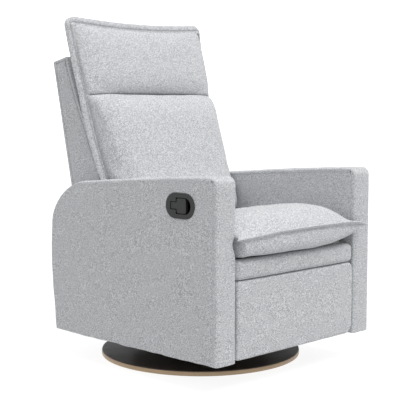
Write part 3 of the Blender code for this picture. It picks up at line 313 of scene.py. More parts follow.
def noise(tree, place, scale, detail=2.0, rough=0.5):
    """Soft noise over that place, about one lump per metre over the scale."""
    made = node(tree, "ShaderNodeTexNoise", Scale=scale, Detail=detail, Roughness=rough)
    wire(tree, place, made.inputs["Vector"])
    return made.outputs["Fac"]


def ramp(tree, fac, *stops):
    """A colour ramp through (place, colour) stops."""
    made = node(tree, "ShaderNodeValToRGB")
    elements = made.color_ramp.elements
    for _ in stops[2:]:
        elements.new(0.5)
    for element, (at, colour) in zip(elements, stops):
        element.position, element.color = at, (*colour, 1)
    wire(tree, fac, made.inputs["Fac"])
    return made.outputs["Color"]


def mix(tree, fac, a, b, kind="MIX"):
    """Mixes two colours, each a socket or a fixed colour. fac is a socket or a number."""
    made = node(tree, "ShaderNodeMix", data_type="RGBA", blend_type=kind)
    for value, socket in ((fac, made.inputs[0]), (a, made.inputs[6]), (b, made.inputs[7])):
        if isinstance(value, bpy.types.NodeSocket):
            wire(tree, value, socket)
        else:
            socket.default_value = value if isinstance(value, (int, float)) else (*value, 1)
    return made.outputs[2]


def calculate(tree, kind, a, b=0.0):
    """One sum of two values, each a socket or a number."""
    made = node(tree, "ShaderNodeMath", operation=kind)
    for value, socket in ((a, made.inputs[0]), (b, made.inputs[1])):
        if isinstance(value, bpy.types.NodeSocket):
            wire(tree, value, socket)
        else:
            socket.default_value = value
    return made.outputs[0]


def bump(tree, shader, height, strength, distance):
    """Fine relief of that height, in metres, on the shader."""
    made = node(tree, "ShaderNodeBump", Strength=strength, Distance=distance)
    wire(tree, height, made.inputs["Height"])
    wire(tree, made.outputs["Normal"], shader.inputs["Normal"])


def vary_roughness(tree, shader, source, low, high):
    """Roughness that runs from low to high as the source runs from 0 to 1."""
    made = node(tree, "ShaderNodeMapRange", To_Min=low, To_Max=high)
    wire(tree, source, made.inputs["Value"])
    wire(tree, made.outputs["Result"], shader.inputs["Roughness"])


YARN = 0.0021  # from one yarn to the next
FLECK_SHARE, CLOUD_SHARE, YARN_SHARE = 0.88, 0.04, 0.08  # of the cloth's tone
# painted shade: the dark colour that seams and grooves are mixed towards
SEAM_PAINTED_SHADE = (0.20, 0.205, 0.215)  # of the dark line in a seam
PLY = 0.0031  # two plies of the bent plywood


def heather_fabric(name, light, dark):
    """Plain-woven heathered cloth: flecks of two tones, a tone for each yarn crossing, and a lumpy weave.

    The seam attribute mixes painted shade into seams and grooves, where shade falls. The weave is the product of
    two sines over the cloth's own map.
    """
    made, tree, shader = new_material(name, Sheen_Weight=0.18, Sheen_Roughness=0.45, Specular_IOR_Level=0.25)
    at = object_place(tree)
    fleck = noise(tree, at, 450.0, 1.0, 0.5)
    cloud = noise(tree, at, 90.0, 1.0)
    weaving = node(tree, "ShaderNodeUVMap", uv_map="cloth").outputs["UV"]
    crossing = node(tree, "ShaderNodeVectorMath", operation="SNAP")
    wire(tree, weaving, crossing.inputs[0])
    crossing.inputs[1].default_value = (YARN, YARN, YARN)
    chance = node(tree, "ShaderNodeTexWhiteNoise", noise_dimensions="2D")
    wire(tree, crossing.outputs[0], chance.inputs["Vector"])
    tones = ((fleck, FLECK_SHARE), (cloud, CLOUD_SHARE), (chance.outputs["Value"], YARN_SHARE))
    parts = [calculate(tree, "MULTIPLY", part, share) for part, share in tones]
    tone = calculate(tree, "ADD", calculate(tree, "ADD", parts[0], parts[1]), parts[2])
    colour = ramp(tree, tone, (0.41, dark), (0.59, light))
    split = node(tree, "ShaderNodeSeparateXYZ")
    wire(tree, weaving, split.inputs[0])
    turns = [calculate(tree, "MULTIPLY", split.outputs[i], pi / YARN) for i in (0, 1)]
    weave = calculate(tree, "MULTIPLY", *(calculate(tree, "SINE", turn) for turn in turns))
    seam = node(tree, "ShaderNodeAttribute", attribute_name="seam").outputs["Fac"]
    # painted shade: the seam attribute darkens the cloth in seams and grooves
    colour = mix(tree, calculate(tree, "MULTIPLY", seam, 0.45), colour, SEAM_PAINTED_SHADE)
    wire(tree, colour, shader.inputs["Base Color"])
    vary_roughness(tree, shader, fleck, 0.82, 0.98)
    lumps = calculate(tree, "ADD", calculate(tree, "MULTIPLY", weave, 0.30), fleck)
    bump(tree, shader, lumps, 0.55, 0.0006)
    return made


def grained_wood(name, light, dark, along, roughness):
    """Wood whose grain runs along one axis, with pores and slow bands of tone."""
    made, tree, shader = new_material(name, Coat_Weight=0.1, Coat_Roughness=0.3)
    stretch = [60.0, 60.0, 60.0]
    stretch[along] = 4.0
    mapping = node(tree, "ShaderNodeMapping", Scale=stretch)
    wire(tree, object_place(tree), mapping.inputs["Vector"])
    grain = noise(tree, mapping.outputs[0], 1.0, 5.0, 0.6)
    pores = noise(tree, mapping.outputs[0], 9.0, 2.0)
    colour = ramp(tree, grain, (0.30, dark), (0.55, light), (0.8, dark))
    colour = mix(tree, calculate(tree, "MULTIPLY", pores, 0.35), colour, dark)
    wire(tree, colour, shader.inputs["Base Color"])
    shader.inputs["Roughness"].default_value = roughness
    bump(tree, shader, pores, 0.25, 0.0003)
    return made


def edge_ply(name):
    """Bent plywood: plies stacked up its height, and grain that runs round the edge, both on its own UV map."""
    made, tree, shader = new_material(name, Coat_Weight=0.25, Coat_Roughness=0.25)
    where = node(tree, "ShaderNodeUVMap", uv_map="cloth").outputs["UV"]
    mapping = node(tree, "ShaderNodeMapping", Scale=(14.0, 900.0, 1.0))
    wire(tree, where, mapping.inputs["Vector"])
    grain = noise(tree, mapping.outputs[0], 1.0, 4.0, 0.6)
    split = node(tree, "ShaderNodeSeparateXYZ")
    wire(tree, where, split.inputs[0])
    plies = calculate(tree, "SINE", calculate(tree, "MULTIPLY", split.outputs[1], 2 * pi / PLY))
    colour = ramp(tree, grain, (0.3, (0.36, 0.23, 0.12)), (0.7, (0.62, 0.45, 0.28)))
    shade = calculate(tree, "MULTIPLY", calculate(tree, "GREATER_THAN", plies, 0.2), 0.30)
    colour = mix(tree, shade, colour, (0.30, 0.18, 0.09))
    wire(tree, colour, shader.inputs["Base Color"])
    shader.inputs["Roughness"].default_value = 0.45
    bump(tree, shader, grain, 0.2, 0.0003)
    return made


def coated_steel(name):
    """Satin black powder coat with its fine orange peel and a little dust."""
    made, tree, shader = new_material(name, Metallic=0.0, Specular_IOR_Level=0.5)
    at = object_place(tree)
    peel = noise(tree, at, 900.0, 2.0)
    dust = noise(tree, at, 28.0, 4.0, 0.7)
    colour = ramp(tree, dust, (0.35, (0.028, 0.020, 0.015)), (0.75, (0.066, 0.052, 0.041)))
    wire(tree, colour, shader.inputs["Base Color"])
    vary_roughness(tree, shader, dust, 0.32, 0.55)
    bump(tree, shader, peel, 0.15, 0.0004)
    return made


def plated_steel(name):
    """Zinc plate: cloudy brightness, fine drawn lines and small dull spots."""
    made, tree, shader = new_material(name, Metallic=1.0)
    at = object_place(tree)
    cloud = noise(tree, at, 35.0, 5.0, 0.65)
    mapping = node(tree, "ShaderNodeMapping", Scale=(2500.0, 90.0, 90.0))
    wire(tree, at, mapping.inputs["Vector"])
    lines = noise(tree, mapping.outputs[0], 1.0, 2.0)
    colour = ramp(tree, cloud, (0.3, (0.40, 0.41, 0.43)), (0.7, (0.66, 0.67, 0.69)))
    wire(tree, colour, shader.inputs["Base Color"])
    vary_roughness(tree, shader, cloud, 0.24, 0.5)
    bump(tree, shader, lines, 0.1, 0.0002)
    return made


def moulded(name, dark, light, roughness, grain=1100.0, depth=0.0003):
    """Moulded plastic or rubber with a fine leathery grain and worn paler patches."""
    made, tree, shader = new_material(name, Specular_IOR_Level=0.45)
    at = object_place(tree)
    cells = node(tree, "ShaderNodeTexVoronoi", Scale=grain)
    wire(tree, at, cells.inputs["Vector"])
    wear = noise(tree, at, 45.0, 4.0, 0.6)
    wire(tree, ramp(tree, wear, (0.4, dark), (0.8, light)), shader.inputs["Base Color"])
    vary_roughness(tree, shader, wear, roughness - 0.06, roughness + 0.08)
    bump(tree, shader, cells.outputs["Distance"], 0.3, depth)
    return made


FABRIC = heather_fabric("grey_heather", (0.775, 0.782, 0.798), (0.375, 0.380, 0.392))
DISC_WOOD = edge_ply("bent_plywood")
BOARD_WOOD = grained_wood("plywood_board", (0.66, 0.50, 0.31), (0.47, 0.32, 0.17), 1, 0.7)
BLACK_STEEL = coated_steel("black_powder_coat")
ZINC_STEEL = plated_steel("zinc_plate")
BLACK_PLASTIC = moulded("grained_plastic", (0.022, 0.023, 0.023), (0.034, 0.035, 0.036), 0.5)
FOOT_RUBBER = moulded("foot_sheet", (0.030, 0.030, 0.030), (0.055, 0.055, 0.055), 0.8, 600.0, 0.0006)
NODE_FINISH = {
    "grey_fabric": FABRIC,
    "base_wood": DISC_WOOD,
    "frame_wood": BOARD_WOOD,
    "black_steel": BLACK_STEEL,
    "zinc_steel": ZINC_STEEL,
    "black_plastic": BLACK_PLASTIC,
    "foot_rubber": FOOT_RUBBER,
}


def finish_nodes():
    """Gives every CAD node the finish of its slot in the record."""
    for row in frame["record"]["subparts"]:
        shape = frame["nodes"].get(row["node"])
        if shape is not None:
            for place_in in shape.material_slots:
                place_in.material = NODE_FINISH[row["material_slot"]]


# ---------------------------------------------------------------- rounded slabs
def rounded_outline(low, high, radii, inset, spacing):
    """Rings of a rectangle with round corners, one for each inset. A corner's radius shrinks with the inset."""
    inset = np.asarray(inset, float)[:, None]
    arcs = []
    for radius, (right, up, start) in zip(radii, ((1, -1, -90), (1, 1, 0), (-1, 1, 90), (-1, -1, 180))):
        curve = np.maximum(radius - inset, LEAST_ROUND)
        middle_a = (high[0] if right > 0 else low[0]) - right * (inset + curve)
        middle_b = (high[1] if up > 0 else low[1]) - up * (inset + curve)
        turn = np.radians(np.linspace(start, start + 90, ARC_STEPS))[None]
        arcs.append(np.stack([middle_a + curve * np.cos(turn), middle_b + curve * np.sin(turn)], -1))
    ring = []
    for arc, following in zip(arcs, arcs[1:] + arcs[:1]):
        gap = following[:, :1] - arc[:, -1:]
        count = max(2, int(np.linalg.norm(gap[0, 0]) / spacing))
        ring += [arc, arc[:, -1:] + gap * (np.arange(1, count) / count)[None, :, None]]
    return np.concatenate(ring, 1)


def edge_section(half, depth, fullness, steps=EDGE_STEPS):
    """The rounded edge from one face to the other: insets and heights on a superellipse of that fullness."""
    turn = np.linspace(-pi / 2, pi / 2, steps)
    height = half * np.sign(np.sin(turn)) * np.abs(np.sin(turn)) ** (2 / fullness)
    inset = depth * (1 - np.abs(np.cos(turn)) ** (2 / fullness))
    return inset, height


def slab(low, high, radii, half, depth, fullness, seam=None, shrink=26, spacing=GRID):
    """A padded slab: rings go from the middle of one face, over the rounded edge, to the middle of the other.

    Returns the rings in (a, b, height) and each ring's inset. Radii go anticlockwise from the low right corner.
    """
    inset, height = edge_section(half, depth, fullness)
    room = min(high[0] - low[0], high[1] - low[1]) / 2 - depth
    start = depth if seam is None else max(depth, seam + 2 * SEAM_HALF)
    flat = start + np.minimum(np.array([0.001, 0.004, 0.008]), room * np.array([0.1, 0.25, 0.45]))
    if seam is not None:
        near = seam + np.array([-2.0, -1.2, -0.6, 0, 0.6, 1.2, 2.0]) * SEAM_HALF
        rise = np.interp(near, inset[EDGE_STEPS // 2:], height[EDGE_STEPS // 2:])
        both_inset = np.concatenate([near, near, inset])
        both_height = np.concatenate([rise, -rise, height])
        order = np.argsort(np.sign(both_height) * (both_inset + 1e-6) + 1e-9 * both_height, kind="stable")
        inset, height = both_inset[order], both_height[order]
    inset = np.concatenate([flat[::-1], inset, flat])
    height = np.concatenate([np.full(3, -half), height, np.full(3, half)])
    edge = rounded_outline(low, high, radii, inset, spacing)
    middle = np.array([(low[0] + high[0]) / 2, (low[1] + high[1]) / 2])
    share = np.linspace(1, 0.02, shrink + 1)[1:, None, None]
    inward = middle + (edge[-1][None] - middle) * share
    outward = middle + (edge[0][None] - middle) * share[::-1]
    flat_rings = np.concatenate([outward, edge, inward])
    heights = np.concatenate([np.full(shrink, -half), height, np.full(shrink, half)])
    insets = np.concatenate([np.full(shrink, 1.0), inset, np.full(shrink, 1.0)])
    raised = np.broadcast_to(heights[:, None, None], (*flat_rings.shape[:2], 1))
    rings = np.concatenate([flat_rings, raised], -1)
    return rings, insets


# ---------------------------------------------------------------- arms
def arm_cover(side, name, node_name):
    """One upholstered arm: a padded slab standing in Y-Z.

    Its top falls and its rear edge bulges by powers of the height and the run. Its face is pressed flat
    around the handle, and its front inner edge is dented by a bell where the seat's ear passes.
    """
    half = (ARM_HIGH[0] - ARM_LOW[0]) / 2
    centre = side * (ARM_HIGH[0] + ARM_LOW[0]) / 2
    low, high = (ARM_LOW[1] - ARM_FRONT_PLUMP, ARM_LOW[2] - ARM_FOOT_PLUMP), (ARM_REAR_FOOT, ARM_HIGH[2])
    radii = (ARM_FOOT_ROUND, ARM_REAR_ROUND, ARM_FRONT_ROUND, ARM_FOOT_ROUND)
    rings, insets = slab(low, high, radii, half, ARM_EDGE, ARM_FULLNESS, ARM_SEAM, shrink=44)
    y, z, across = rings[..., 0], rings[..., 1], rings[..., 2]
    height = (z - low[1]) / (high[1] - low[1])
    run = np.clip((y - low[0]) / (high[0] - low[0]), 0, 1)
    in_seam = np.broadcast_to(hump(insets, ARM_SEAM, SEAM_HALF)[:, None], y.shape)
    sewn = in_seam * step(z, low[1] + 0.02, low[1] + 0.06) * (1 - step(y, 0.20, 0.28))
    from_cup = np.hypot(y - (CUP_LOW[1] + CUP_HIGH[1]) / 2, z - (CUP_LOW[2] + CUP_HIGH[2]) / 2)
    flattened = 1 - (CUP_FLAT * (1 - step(from_cup, CUP_NEAR, CUP_FAR)) if side < 0 else 0)
    puff = ARM_PLUMP * (0.5 + 0.5 * step(insets, ARM_SEAM, 0.05)[:, None]) * flattened
    sewn = sewn * np.where(side * across > 0, OUTER_SEAM, 1)
    swollen = across + np.sign(across) * (puff - ARM_SEAM_DEPTH * sewn)
    above = z - low[1]
    tight = above * (1 - ARM_FOOT_SHARP * (1 - step(above, ARM_EDGE, 5 * ARM_EDGE)))
    new_z = low[1] + tight - ARM_TOP_FALL * height**1.5 * run**1.35
    new_y = y + ARM_REAR_BULGE * np.sin(pi * np.clip(height, 0, 1) * 0.95) ** 1.2 * run**3
    points = np.stack([centre + swollen, new_y, new_z], -1)
    inner_front = hump(points[..., 0], side * ARM_LOW[0], 0.016) * hump(new_y, low[0], 0.035)
    press = hump(new_z, SEAT_LOW[2] + ARM_PINCH_RISE, 0.020) * inner_front
    points[..., 0] += side * ARM_PINCH * press
    points[..., 1] += ARM_PINCH_BACK * press
    points += SLIGHT_RUMPLE * (flattened * ripple(points, 0.07, 11))[..., None] * np.array([1.0, 0.6, 0.6])
    flat, faces = ringed(points)
    mesh = fill_mesh(name, flat, faces)
    if side < 0:
        mesh = carve(mesh, handle_opening())
    # painted shade along the arm's panel seams, at half the groove's share and less on the outer face
    share = nearest_share(flat, np.concatenate([0.5 * sewn.ravel(), [0, 0]]), mesh_points(mesh))
    cover = place(mesh, name, "chair", "grey_fabric", FABRIC, (node_name,), share)


def carve(mesh, cutter):
    """The mesh less the cutter, both closed."""
    pair = [bpy.data.objects.new(f"carving_{i}", m) for i, m in enumerate((mesh, cutter))]
    for thing in pair:
        bpy.context.scene.collection.objects.link(thing)
    tool = pair[0].modifiers.new("carve", "BOOLEAN")
    tool.object, tool.operation, tool.solver = pair[1], "DIFFERENCE", "EXACT"
    grown = pair[0].evaluated_get(bpy.context.evaluated_depsgraph_get())
    made = bpy.data.meshes.new_from_object(grown)
    for thing in pair:
        bpy.data.objects.remove(thing)
    return made


def handle_opening():
    """The hole for the handle's cup: two half circles joined by straights, carried through X."""
    middle, half = (CUP_LOW + CUP_HIGH) / 2, (CUP_HIGH - CUP_LOW) / 2 - OPENING_RIM
    turn = np.linspace(0, 2 * pi, 64, endpoint=False)
    y = np.sign(np.cos(turn)) * (half[1] - half[2]) + half[2] * np.cos(turn)
    ring = np.stack([np.zeros(64), middle[1] + y, middle[2] + half[2] * np.sin(turn)], -1)
    ends = np.array([CUP_LOW[0] - 0.02, CUP_HIGH[0] + 0.001])
    points, faces = ringed(ring[None] + ends[:, None, None] * np.array([1.0, 0, 0]))
    return fill_mesh("opening", points, faces)


def add_seam_dots():
    """The small dark bartack at the front top corner of each arm's side panels: a flattened half ball."""
    turn, rise = np.meshgrid(np.linspace(0, 2 * pi, 16, endpoint=False), np.linspace(0.05, pi / 2, 6))
    radius, tall = 0.0022, 0.0012
    y, z = ARM_LOW[1] + 0.0135, ARM_HIGH[2] - 0.0125
    out = radius * np.sin(rise)
    for side, arm in ((1, "left"), (-1, "right")):
        for face, x, way in (("outer", ARM_HIGH[0] + ARM_PLUMP, 1), ("inner", ARM_LOW[0] - ARM_PLUMP, -1)):
            bead = np.stack([tall * (np.cos(rise) - 0.5), out * np.cos(turn), out * np.sin(turn)], -1)
            bead[..., 0] = side * (x + way * bead[..., 0])
            base = bead[-1:] - np.array([side * way * 0.002, 0, 0])
            points, faces = ringed(np.concatenate([bead, base]) + np.array([0, y, z]))
            name = f"bartack_{arm}_{face}"
            place(fill_mesh(name, points, faces), name, "chair", "black_plastic", BLACK_PLASTIC)


def nearest_share(points, values, found):
    """Each found point's value, from the made point at the same place."""
    keys = {tuple(k): v for k, v in zip(np.round(points, 5).tolist(), values.tolist())}
    return np.array([keys.get(tuple(k), 0.0) for k in np.round(found, 5).tolist()])


# ---------------------------------------------------------------- pillows
def grid_shares(across, along):
    """Two grids, from -1 to 1 across and from 0 to 1 along."""
    return np.meshgrid(np.linspace(-1, 1, across), np.linspace(0, 1, along), indexing="ij")


def pillow_rise(u, v, round_u, round_v, full):
    """How full a pillow is: 0 on its border and 1 in the middle, on a superellipse both ways."""
    rise = (1 - np.abs(u) ** round_u) * (1 - np.abs(2 * v - 1) ** round_v)
    return np.clip(rise, 0, 1) ** (1 / full)


def border_share(upper, reach):
    """1 on a grid's border, falling to 0 at that distance from it along the surface."""
    rows, columns = upper.shape[:2]
    far = np.full((rows, columns), 1e9)
    for axis in (0, 1):
        steps = np.linalg.norm(np.diff(upper, axis=axis), axis=-1)
        run = np.concatenate([np.zeros_like(steps.take([0], axis)), np.cumsum(steps, axis)], axis)
        total = run.take([-1], axis)
        far = np.minimum(far, np.minimum(run, total - run))
    return 1 - step(far, 0, reach)


def sewn_pillow(name, body, stands_for, upper, lower, most, held_lower):
    """Two sheets of cloth sewn along their border, blown up, then lightly rumpled along their normals."""
    points, faces = sheeted(upper, lower)
    mesh = fill_mesh(name, points, faces)
    found = mesh_points(mesh)
    seam = np.concatenate([border_share(upper, 0.004).ravel(), border_share(lower, 0.004).ravel()])
    edge = np.concatenate([border_share(upper, 0.010).ravel(), border_share(lower, 0.010).ravel()])
    held = np.concatenate([np.zeros(upper[..., 0].size), np.broadcast_to(held_lower, lower.shape[:2]).ravel()])
    on_seam = nearest_share(points, seam, found)
    near_edge = nearest_share(points, edge, found)
    pinned = (on_seam > 0.999) | (nearest_share(points, held, found) > 0.5)
    grown = swell(mesh, pinned, most)
    move_points(mesh, grown)
    normals = read_triples(mesh.vertex_normals, "vector").astype(float)
    grown += normals * (RUMPLE * ripple(grown, 0.075, 5) * (1 - near_edge))[:, None]
    move_points(mesh, grown)
    # painted shade along the sewn border of the two sheets
    pillow = smoothed(place(mesh, name, body, "grey_fabric", FABRIC, stands_for, on_seam))


def swept(path, outward, upward, section, taper=None):
    """A closed section carried along an open path, with unit directions outward and upward at each point."""
    size = np.ones(len(path)) if taper is None else taper
    rings = (
        path[:, None]
        + outward[:, None] * (section[None, :, :1] * size[:, None, None])
        + upward[:, None] * (section[None, :, 1:] * size[:, None, None])
    )
    return ringed(rings)


def unit(vectors):
    """The same directions, each of length one."""
    return vectors / np.maximum(np.linalg.norm(vectors, axis=-1, keepdims=True), 1e-12)


# ---------------------------------------------------------------- back
CREASE = 0.426  # along the back, between the headrest and the lower cushion
BORDER_TOP = 0.6600
BORDER_LOW = 0.032
FLANGE_LEAN = radians(42)  # of the side flange behind the plane of the back
EDGE_LINE = np.array([  # along the back, half width and forward place of the flange's outer edge
    (0.030, 0.2605, 0.1400),
    (0.100, 0.2605, 0.1150),
    (0.160, 0.2620, 0.0950),
    (0.200, 0.2685, 0.0885),
    (0.250, 0.2720, 0.0820),
    (0.300, 0.2745, 0.0760),
    (0.350, 0.2775, 0.0720),
    (0.400, 0.2795, 0.0690),
    (0.426, 0.2800, 0.0680),
    (0.450, 0.2815, 0.0675),
    (0.500, 0.2835, 0.0640),
    (0.560, 0.2855, 0.0600),
    (0.620, 0.2885, 0.0590),
    (0.6735, 0.2925, 0.0600),
])
TOP_SAG = 0.014
CREASE_FORWARD = 0.095  # of the crease's middle
CREASE_LAP = 0.002  # how far the two cushions lap at the crease


def on_back(across, along, forward):
    """Points given across the back, along it from its pivot, and forward of the pivot's line."""
    across, along, forward = np.broadcast_arrays(across, along, forward)
    y = BACK_PIVOT[1] + along * sin(BACK_LEAN) - forward * cos(BACK_LEAN)
    z = BACK_PIVOT[2] + along * cos(BACK_LEAN) + forward * sin(BACK_LEAN)
    return np.stack([across, y, z], -1)


def side_forward(along):
    """The sewn side line lies ahead of the flange's outer edge."""
    return smooth_line(EDGE_LINE[:, 0], EDGE_LINE[:, 2], along) + FLANGE_WIDTH * sin(FLANGE_LEAN)


def half_width(along):
    """From the middle to the sewn side line, which lies inside the flange's outer edge."""
    return smooth_line(EDGE_LINE[:, 0], EDGE_LINE[:, 1], along) - FLANGE_WIDTH * cos(FLANGE_LEAN)


def shell_front(along):
    """The shell's front edge: straight runs from the foot to the crease, the shell's top and above it."""
    return np.interp(along, (0.050, CREASE, 0.568, 0.70), (0.123, 0.029, 0.005, -0.004))


def back_pillow(name, node_name, low, high, crown, ends_forward, top_sag, rounding, boxy, lower_fullness):
    """A section of the back: a front sheet that crowns ahead of the side lines, and a rear one on the shell.

    An end whose place forward is given is lifted to it in the middle, by a power of the place across.
    """
    u, v = grid_shares(int(2 * 0.257 / GRID), int((high - low) / GRID))
    ends = [low, high - top_sag * (1 - u**2)]
    along = ends[0] + (ends[1] - ends[0]) * v
    sides = side_forward(low + (high - low) * v)
    corner = [side_forward(np.array(x)) for x in (low, high)]
    middle = [own if given is None else given for own, given in zip(corner, ends_forward)]
    lift = [(m - c) * (1 - np.abs(u) ** 14) for m, c in zip(middle, corner)]
    border = sides + lift[0] * (1 - v) + lift[1] * v
    width = half_width(low + (high - low) * v) * u
    fuller = 1 + lower_fullness * (1 - v)
    upper = on_back(width, along, border + crown * fuller * pillow_rise(u, v, boxy, rounding, 2.0))
    depth = np.maximum(border - shell_front(along) - 0.003, 0.004)
    rear = pillow_rise(u, v, 8.0, 6.0, 2.0)
    lower = on_back(width, along, border - depth * rear)
    sewn_pillow(name, "back", (node_name,), upper, lower, BACK_SWELL, rear > 0.6)


def border_path():
    """The cushions' outer border: up one side, across the sagging top and down the other side."""
    rise = np.linspace(BORDER_LOW, BORDER_TOP - 0.005, 120)
    side = np.stack([half_width(rise), rise, side_forward(rise)], -1)
    u = np.linspace(0.97, -0.97, 90)
    wide = half_width(np.array(BORDER_TOP))
    top_along = BORDER_TOP - TOP_SAG * (1 - u**2)
    top_forward = side_forward(np.array(BORDER_TOP)) + 0.006 * (1 - np.abs(u) ** 6)
    top = np.stack([wide * u, top_along, top_forward], -1)
    return np.concatenate([side, top, side[::-1] * (-1, 1, 1)])


def add_back_flange():
    """The flat self flange: a thin tongue with a stitched groove. It leans back at the sides, up at the top."""
    local = border_path()
    tangent = unit(np.gradient(local, axis=0))
    for _ in range(6):
        eased = (tangent[:-2] + 2 * tangent[1:-1] + tangent[2:]) / 4
        tangent = unit(np.concatenate([tangent[:1], eased, tangent[-1:]]))
    sideways = unit(np.stack([tangent[:, 1], -tangent[:, 0], np.zeros(len(local))], -1))
    lean = FLANGE_LEAN * np.abs(sideways[:, :1]) ** 0.7
    outward = sideways * np.cos(lean) + np.array([0, 0, -1.0]) * np.sin(lean)
    upward = unit(np.cross(outward, tangent))
    upward *= np.sign(upward[:, 2:])
    path, ahead, aside = (on_back(*a.T) for a in (local, local + outward, local + upward))
    outward, upward = unit(ahead - path), unit(aside - path)
    reach, thick = FLANGE_WIDTH + FLANGE_EXTRA, FLANGE_THICK / 2
    o = np.array([-0.014, -0.004, 0.0, 0.0012, 0.0025, 0.0045, 0.008, 0.0115, 0.014, reach - 0.0004, reach])
    n = thick * np.array([0.4, 0.4, 0.18, 0.12, 0.55, 0.95, 1.1, 1.05, 0.85, 0.45, 0.0])
    section = np.concatenate([np.stack([o, n], -1), np.stack([o, -n], -1)[-2::-1]])
    points, faces = swept(path, outward, upward, section)
    mesh = fill_mesh("back_flange", points, faces)
    # painted shade in the flange's stitched groove
    groove_painted_shade = np.tile(hump(section[:, 0], 0.0008, 0.0016), len(path))
    share = nearest_share(points, np.concatenate([groove_painted_shade, [0, 0]]), mesh_points(mesh))
    smoothed(place(mesh, "back_flange", "back", "grey_fabric", FABRIC, (), share))


def add_back_shell():
    """The upholstered shell: a side outline eased by a moving average, across X, with rounded edges."""
    turn = np.radians(np.linspace(0, 190, 30))
    radius = -SHELL_REAR
    knuckle = np.stack([-radius * np.sin(turn), -radius * np.cos(turn)], -1)
    rest = [[0.050, 0.123], [CREASE, 0.029], [SHELL_TOP, 0.004], [SHELL_TOP, SHELL_TOP_REAR], [0, SHELL_REAR]]
    corners = np.concatenate([knuckle, rest])
    run = np.concatenate([[0], np.cumsum(np.linalg.norm(np.diff(corners, axis=0), axis=1))])
    even = np.linspace(0, run[-1], 320, endpoint=False)
    outline = np.stack([np.interp(even, run, corners[:, i]) for i in (0, 1)], -1)
    for _ in range(5):
        outline = (np.roll(outline, 1, 0) + 2 * outline + np.roll(outline, -1, 0)) / 4
    tangent = unit(np.roll(outline, -1, 0) - np.roll(outline, 1, 0))
    inward = np.stack([-tangent[:, 1], tangent[:, 0]], -1)
    inward *= np.sign((inward * (outline.mean(0) - outline)).sum())
    half = (SHELL_HIGH[0] - SHELL_LOW[0]) / 2
    inset, across = edge_section(half, SHELL_EDGE, 2.6, 71)
    side_inset = np.array([0.0105, 0.0125, 0.0135, 0.0145, SHELL_SEAM, 0.0175, 0.0185, 0.0195, 0.022])
    side_across = np.full(len(side_inset), half)
    inset = np.concatenate([side_inset[::-1], inset, side_inset])
    across = np.concatenate([-side_across, across, side_across])
    sewn = hump(inset, SHELL_SEAM, SEAM_HALF)
    edge = outline[None] + inward[None] * inset[:, None, None]
    middle = outline.mean(0)
    share = np.linspace(1, 0.02, SHELL_PANEL_RINGS + 1)[1:, None, None]
    panel = middle + (edge[-1][None] - middle) * share
    flat = np.concatenate([panel[::-1], edge, panel])
    none, all_in = np.zeros(SHELL_PANEL_RINGS), np.ones(SHELL_PANEL_RINGS)
    wide = np.concatenate([-half * all_in, across, half * all_in])
    sewn = np.concatenate([none, sewn, none])
    inside = np.concatenate([all_in, step(inset, SHELL_SEAM, SHELL_SEAM + 0.006), all_in])
    x = np.sign(wide) * (np.abs(wide) - SEAM_DEPTH * sewn + 0.0012 * inside * (np.abs(wide) > half - 1e-6))
    points = on_back(x[:, None] * np.ones(flat.shape[:2]), flat[..., 0], flat[..., 1])
    points += SLIGHT_RUMPLE * ripple(points, 0.09, 31)[..., None] * np.array([0.5, 1.0, 0.3])
    flat_points, faces = ringed(points)
    mesh = fill_mesh("back_upholstery", flat_points, faces)
    # painted shade along the shell's panel seams
    values = np.concatenate([np.repeat(sewn, flat.shape[1]), [0, 0]])
    share = nearest_share(flat_points, values, mesh_points(mesh))
    shell = place(mesh, "back_upholstery", "back", "grey_fabric", FABRIC, ("back_shell",), share)


# ---------------------------------------------------------------- seat cushion
SIDE_SEAM_Z = 0.410
SEAT_HALF = 0.2565
SEAT_FRONT, SEAT_REAR = -0.424, 0.104
SEAT_RUN = SEAT_REAR - SEAT_FRONT
FRONT_BOW = 0.009  # of the front border's ends behind its middle
EAR_RUN = 0.10  # over which the border settles from the ears to the side seam
WELT_TOP = 0.430
NEAR_EAR, FAR_EAR = 0.022, 0.042  # how far each front corner passes in front of its arm
WELT_U = (-1.0, -0.80, -0.58, -0.34, -0.05, 0.20, 0.45, 0.70, 0.85, 1.0)
WELT_Z = (0.4165, 0.4195, 0.4245, 0.4280, 0.4295, 0.4300, 0.4295, 0.4275, 0.4235, 0.4130)
CROWN_Y = (SEAT_FRONT, -0.400, -0.375, -0.345, -0.310, -0.270, -0.208, -0.147, -0.060, 0.018, 0.060, 0.104)
CROWN_Z = (WELT_TOP, 0.4560, 0.4740, 0.4860, 0.4900, 0.4875, 0.4765, 0.4635, 0.4520, 0.4430, 0.4360, 0.4280)


def seat_front(u):
    """The front border: its middle bows forward by a power, and its smooth line droops into ears."""
    return SEAT_FRONT + FRONT_BOW * np.abs(u) ** 2.5, smooth_line(WELT_U, WELT_Z, u)


def ear_half_width(u, behind):
    """Half width at a distance behind the front border: the ears pass in front of the arms, then narrow."""
    reach = np.where(u < 0, NEAR_EAR, FAR_EAR)
    return SEAT_HALF + reach * np.clip(1 - behind / 0.026, 0, 1) ** 1.4


